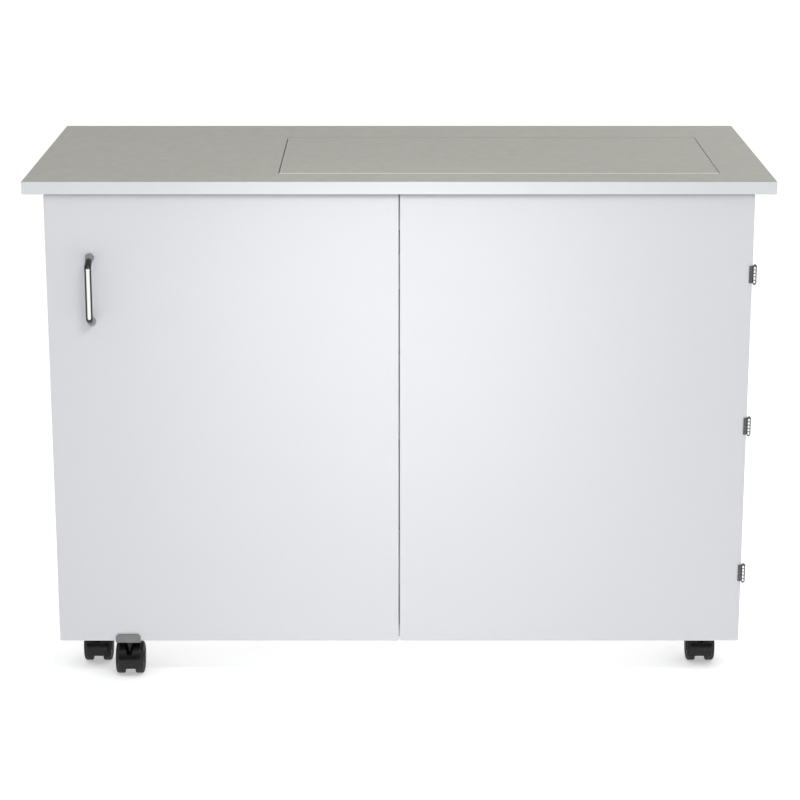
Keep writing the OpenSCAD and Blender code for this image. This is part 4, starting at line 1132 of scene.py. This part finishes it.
def lead_screw():
    """A trapezoidal screw of two starts: 10 mm lead, plain journals at both ends."""
    low, high = corners("lead_screw")
    lead, starts, crest, root = 10.0, 2, SCREW_R - 0.05, SCREW_R - 1.3
    sides, rise = 32, 0.625
    journals = ((low[2], 253.0), (740.0, high[2]))
    bm = bmesh.new()
    loops = []
    z = low[2]
    while z < high[2] + 1e-6:
        plain = any(a - 0.01 <= z <= b + 0.01 for a, b in journals)
        loop = []
        for k in range(sides):
            a = 2 * pi * k / sides
            turn = ((z / lead - k / sides) * starts) % 1.0
            depth = min(1.0, max(0.0, (abs(turn - 0.5) - 0.14) / 0.16))
            r = crest - 0.3 if plain else crest - (crest - root) * (1 - depth)
            loop.append(vert(bm, (open_x + r * cos(a), LIFT_Y + r * sin(a), z)))
        loops.append(loop)
        if z > high[2] - 1e-6:
            break
        z = min(z + rise, high[2])
    capped(bm, loops)
    piece(finish_mesh(to_object("lift_lead_screw", bm, BRIGHT), 60), "screw", "bright_steel", "lead_screw")


def coupling():
    """A clamp coupling with two slits and holes for its clamp screws."""
    x, z0 = open_x, COUPLING_Z
    profile = [(11.2, 0), (12, 0.8), (12, 12.4), (11.4, 13.0), (11.4, 15.0), (12, 15.6), (12, 27.2),
        (11.2, 28.0)]
    adds = [round_of("z", x, LIFT_Y, z0, profile, 48), pin_of("z", x, LIFT_Y, 190, 3.98, 16, 0.4, 32)]
    cuts = [[hole("z", x, LIFT_Y, z0 + 14, SCREW_R - 0.05, 20, 32)],
        [block_of((x, LIFT_Y - 0.6, z0 + a), (x + 14, LIFT_Y + 0.6, z0 + b))
        for a, b in ((0.8, 11), (17, 27.2))],
        [round_of("y", x + 9, LIFT_Y - 12, z0 + z, [(1.5, 0), (1.5, 5)], 20) for z in (6, 22)]]
    obj = shape("screw_clamp_coupling", BRIGHT, adds, cuts, 0.15)
    piece(obj, "screw", "bright_steel", "screw_coupling")


def carriage_parts():
    """The bush housings and the nut: bored blocks with raised collars, and the bolts that hold them."""
    bushes = []
    for x in RODS:
        for z0 in BUSH_Z:
            adds = [block_of((x - 20, CARRIAGE_Y, z0 + 2.2), (x + 20, LIFT_Y + 18, z0 + 25.8)),
                pin_of("z", x, LIFT_Y, z0, 15.5, 28, 0.6, 48)]
            cuts = block_bores(x, CARRIAGE_Y, z0, ROD_R, 30, BUSH_BOLTS, z0 + 14, 2.06, 12)
            bushes.append(shape("bush", PLASTIC, adds, cuts, 1.0, 3))
            for z in (z0 + 0.05, z0 + 26.9):
                bushes.append(washer("wiper", TREAD, x, z, ROD_R, [(11.5, 0), (11.5, 1.0)]))
    piece(joined("carriage_bush_housings", bushes), "carriage", "black_plastic", "carriage_bushes")
    x, middle = open_x, NUT_Z + 20
    adds = [block_of((x - 17, CARRIAGE_Y, NUT_Z + 6), (x + 17, LIFT_Y + 8, NUT_Z + 34)),
        pin_of("z", x, LIFT_Y, NUT_Z, 14.9, 40, 0.8, 48)]
    holes = [hole("y", x + d, CARRIAGE_Y - 1, middle + e, 2.06, 12) for d in NUT_BOLTS for e in BUSH_BOLTS]
    bore = [hole("z", x, LIFT_Y, NUT_Z - 1, SCREW_R + 0.06, 42, 48)]
    piece(shape("lift_lead_nut", BRONZE, adds, [holes, bore], 0.7, 3), "carriage", "bronze", "lead_nut")
    places = [(x + d, z + 14) for x in RODS for d in BUSH_BOLTS for z in BUSH_Z]
    places += [(open_x + d, middle + e) for d in NUT_BOLTS for e in BUSH_BOLTS]
    bolts = [(socket_bolt, (x, CARRIAGE_Y - 3, z), FRONT, 3.5, 13) for x, z in places]
    bolts += [(socket_bolt, (x, CARRIAGE_Y - 7, z), FRONT, 3.5, 7) for x in ARM_EDGES for z in (304, 385)]
    bolts += [(screw_head, (x, y, 401), DOWN, HEAD_R, 14) for x in ARM_EDGES for y in (-122, 34)]
    fasteners("carriage_bolt_set", "carriage", "carriage_bolts", bolts)


guide_rods()
rod_blocks()
motor()
gearbox()
bearings()
lead_screw()
coupling()
carriage_parts()

# ---- Electrics ----


def control_box():
    """The lift's supply: a lidded case with vents, a lamp and screw ears."""
    y = back_face
    left, right, low, high = 394.0, 492.0, 560.0, 650.0
    ear, vent_x, lamp_x, lamp_z = 10, 443, 472, 572
    adds = [block_of((left + ear, y - 40, low), (right - ear, y, high)),
        block_of((left, y - 2.5, low + 5), (right, y, high - 5))]
    cuts = [[block_of((429.6, y - 30, 581.6), (456.4, y + 1, 628.4))],
        [hole("y", ex, y - 4, ez, 2.0, 6) for ex, ez in BOX_SCREWS],
        [block_of((x, y - 34.4, low - 1), (x + 1.6, y - 33.6, high + 1))
        for x in (left + ear - 1, right - ear - 0.6)],
        [block_of((vent_x + k - 1.4, y - 41, 590), (vent_x + k + 1.4, y - 38.8, 632))
        for k in range(-21, 22, 7)], [hole("y", lamp_x, y - 41, lamp_z, 2.6, 2.4, 24)]]
    case = shape("case", PLASTIC, adds, cuts, 0.9, 3)
    lamp = shape("lamp", LAMP, [
        round_of("y", lamp_x, y - 39.9, lamp_z, [(0.9, 0), (2.0, 0.7), (2.2, 1.4)], 24)])
    piece(joined("lift_control_box", [case, lamp]), "cabinet", "black_plastic", "control_box")


def power_inlet():
    """A three-blade appliance inlet: flange, keyed socket and blades."""
    x, z, back = INLET_X, INLET_Z, back_face + 12
    flange = bmesh.new()
    slab(flange, (x - 17, z - 34, x + 17, z + 34), eased(2.5, 0.0, 0.7), 5.0, 5,
        lambda u, v, h: (u, back + h, v))
    body = made_of("body", [block_of((x - 13, back - 30, z - 23), (x + 13, back + 1, z + 23))])
    case = combined(to_object("flange", flange), body, "UNION")
    cavity = bmesh.new()
    outline = [(-10, -13), (10, -13), (10, 8), (5, 13), (-5, 13), (-10, 8)]
    prism(cavity, outline, -14, 4, lambda u, v, h: (x + u, back + h, z + v))
    case = combined(case, to_object("cavity", cavity), "DIFFERENCE")
    holes = [hole("y", x, back - 8, z + s * INLET_SCREW, 1.8, 14) for s in (-1, 1)]
    case = combined(case, made_of("holes", holes), "DIFFERENCE")
    with_bevel(recoat(case, PLASTIC), 0.4)
    blades = [shape("blade", BRIGHT, [
        block_of((x + u - 1, back - 14.2, z + v - 2), (x + u + 1, back - 2.3, z + v + 2))], (), 0.45)
        for u, v in ((0, 5), (-5, -4), (5, -4))]
    inlet = joined("mains_inlet", [finish_mesh(case, 40)] + blades)
    piece(inlet, "cabinet", "black_plastic", "power_inlet")


def lift_switch():
    """The up-and-down switch under the rail: a rounded housing and a ribbed rocker on its pin."""
    x, y0, z0 = SWITCH_X, SWITCH_Y, SWITCH_Z
    pin_y, pin_z = y0 + 3, z0 + 12
    cuts = [[block_of((x - 13.4, y0 - 1, z0 + 3.5), (x + 13.4, y0 + 8, z0 + 20.5))],
        [hole("x", x - 15.55, pin_y, pin_z, 1.55, 31.1, 24)],
        [hole("z", x + s * SWITCH_SCREW, y0 + 13, z0 - 1, 1.8, 26) for s in (-1, 1)]]
    housing = shape("lift_switch_housing", PLASTIC, [
        block_of((x - 30, y0, z0), (x + 30, y0 + 24, z0 + 24))], cuts, 1.6, 4)
    piece(housing, "cabinet", "black_plastic", "switch_housing")
    outline = [(-4, -7), (-3.1, -4.6), (-2.5, -1.8), (-2.4, 0), (-2.5, 1.8), (-3.1, 4.6), (-4, 7), (2, 7.2),
        (3.4, 0), (2, -7.2)]
    bm = bmesh.new()
    prism(bm, outline, -13, 13, lambda u, v, h: (x + h, pin_y + u, pin_z + v))
    pin = made_of("pin", [pin_of("x", x - 15.45, pin_y, pin_z, 1.45, 30.9, 0.3, 24)])
    rocker = combined(to_object("rocker", bm), pin, "UNION")
    ribs = []
    for s in (-1, 1):
        for k in range(3):
            rib_z = pin_z + s * (3.4 + 1.5 * k)
            ribs.append(block_of((x - 9, y0 - 1.6, rib_z - 0.3),
                (x + 9, y0 + 0.05 - 0.15 * k, rib_z + 0.3)))
    rocker = combined(rocker, made_of("ribs", ribs), "DIFFERENCE")
    with_bevel(recoat(rocker, GLOSS), 0.25)
    piece(finish_mesh(rocker, 40), "rocker", "gloss_black_plastic", "switch_rocker")


def rounded_path(points, cut, steps=8):
    """A polyline whose corners are cut by arcs over the distance cut."""
    out = [Vector(points[0])]
    for i in range(1, len(points) - 1):
        p = Vector(points[i])
        a = p + (Vector(points[i - 1]) - p).normalized() * cut
        b = p + (Vector(points[i + 1]) - p).normalized() * cut
        for k in range(steps + 1):
            t = k / steps
            out.append(a * (1 - t) ** 2 + p * 2 * t * (1 - t) + b * t ** 2)
    out.append(Vector(points[-1]))
    return out


def cables():
    """The motor's and the switch's cables, clipped along the boards."""
    clip_y = plate_front - 3.2
    low_z = 85.5
    gland_z, bend_x, rise_x = MOTOR_Z + 17, open_x + 42, 424
    motor_route = [(open_x + 26.8, LIFT_Y, gland_z), (bend_x, LIFT_Y, gland_z), (bend_x, clip_y, gland_z),
        (bend_x, clip_y, low_z), (rise_x, clip_y, low_z), (rise_x, clip_y, 560.5)]
    wall, rail_z, rear = inner_x - 2.7, 698.3, back_face - 20
    switch_route = [(459.5, -198, rail_z), (wall, -198, rail_z), (wall, rear, rail_z), (wall, rear, 605),
        (481.5, rear, 605)]
    for name, route, cut, r, node_name in (("motor_lead", motor_route, 7, 2.9, "motor_cable"),
            ("switch_lead", switch_route, 9, 2.4, "switch_cable")):
        bm = bmesh.new()
        tube(bm, rounded_path(route, cut), r, 16)
        piece(finish_mesh(to_object(name, bm, SHEATH), 50), "cabinet", "cable_rubber", node_name)


control_box()
power_inlet()
lift_switch()
cables()

# ---- Floor ----

floor_bm = bmesh.new()
bmesh.ops.create_grid(floor_bm, x_segments=1, y_segments=1, size=40.0)
FLOOR = material("studio_floor", (0.93, 0.93, 0.93), 0.9, 0.0, 0.004, 0.8, 60, 0.0, 0.02, specular=0.0)
floor_shader = FLOOR.node_tree.nodes["Principled BSDF"]
floor_shader.inputs["Emission Color"].default_value = (1.0, 1.0, 1.0, 1.0)
floor_shader.inputs["Emission Strength"].default_value = FLOOR_GLOW
floor = to_object("studio_floor", floor_bm, FLOOR)
floor.location.z = -0.0004
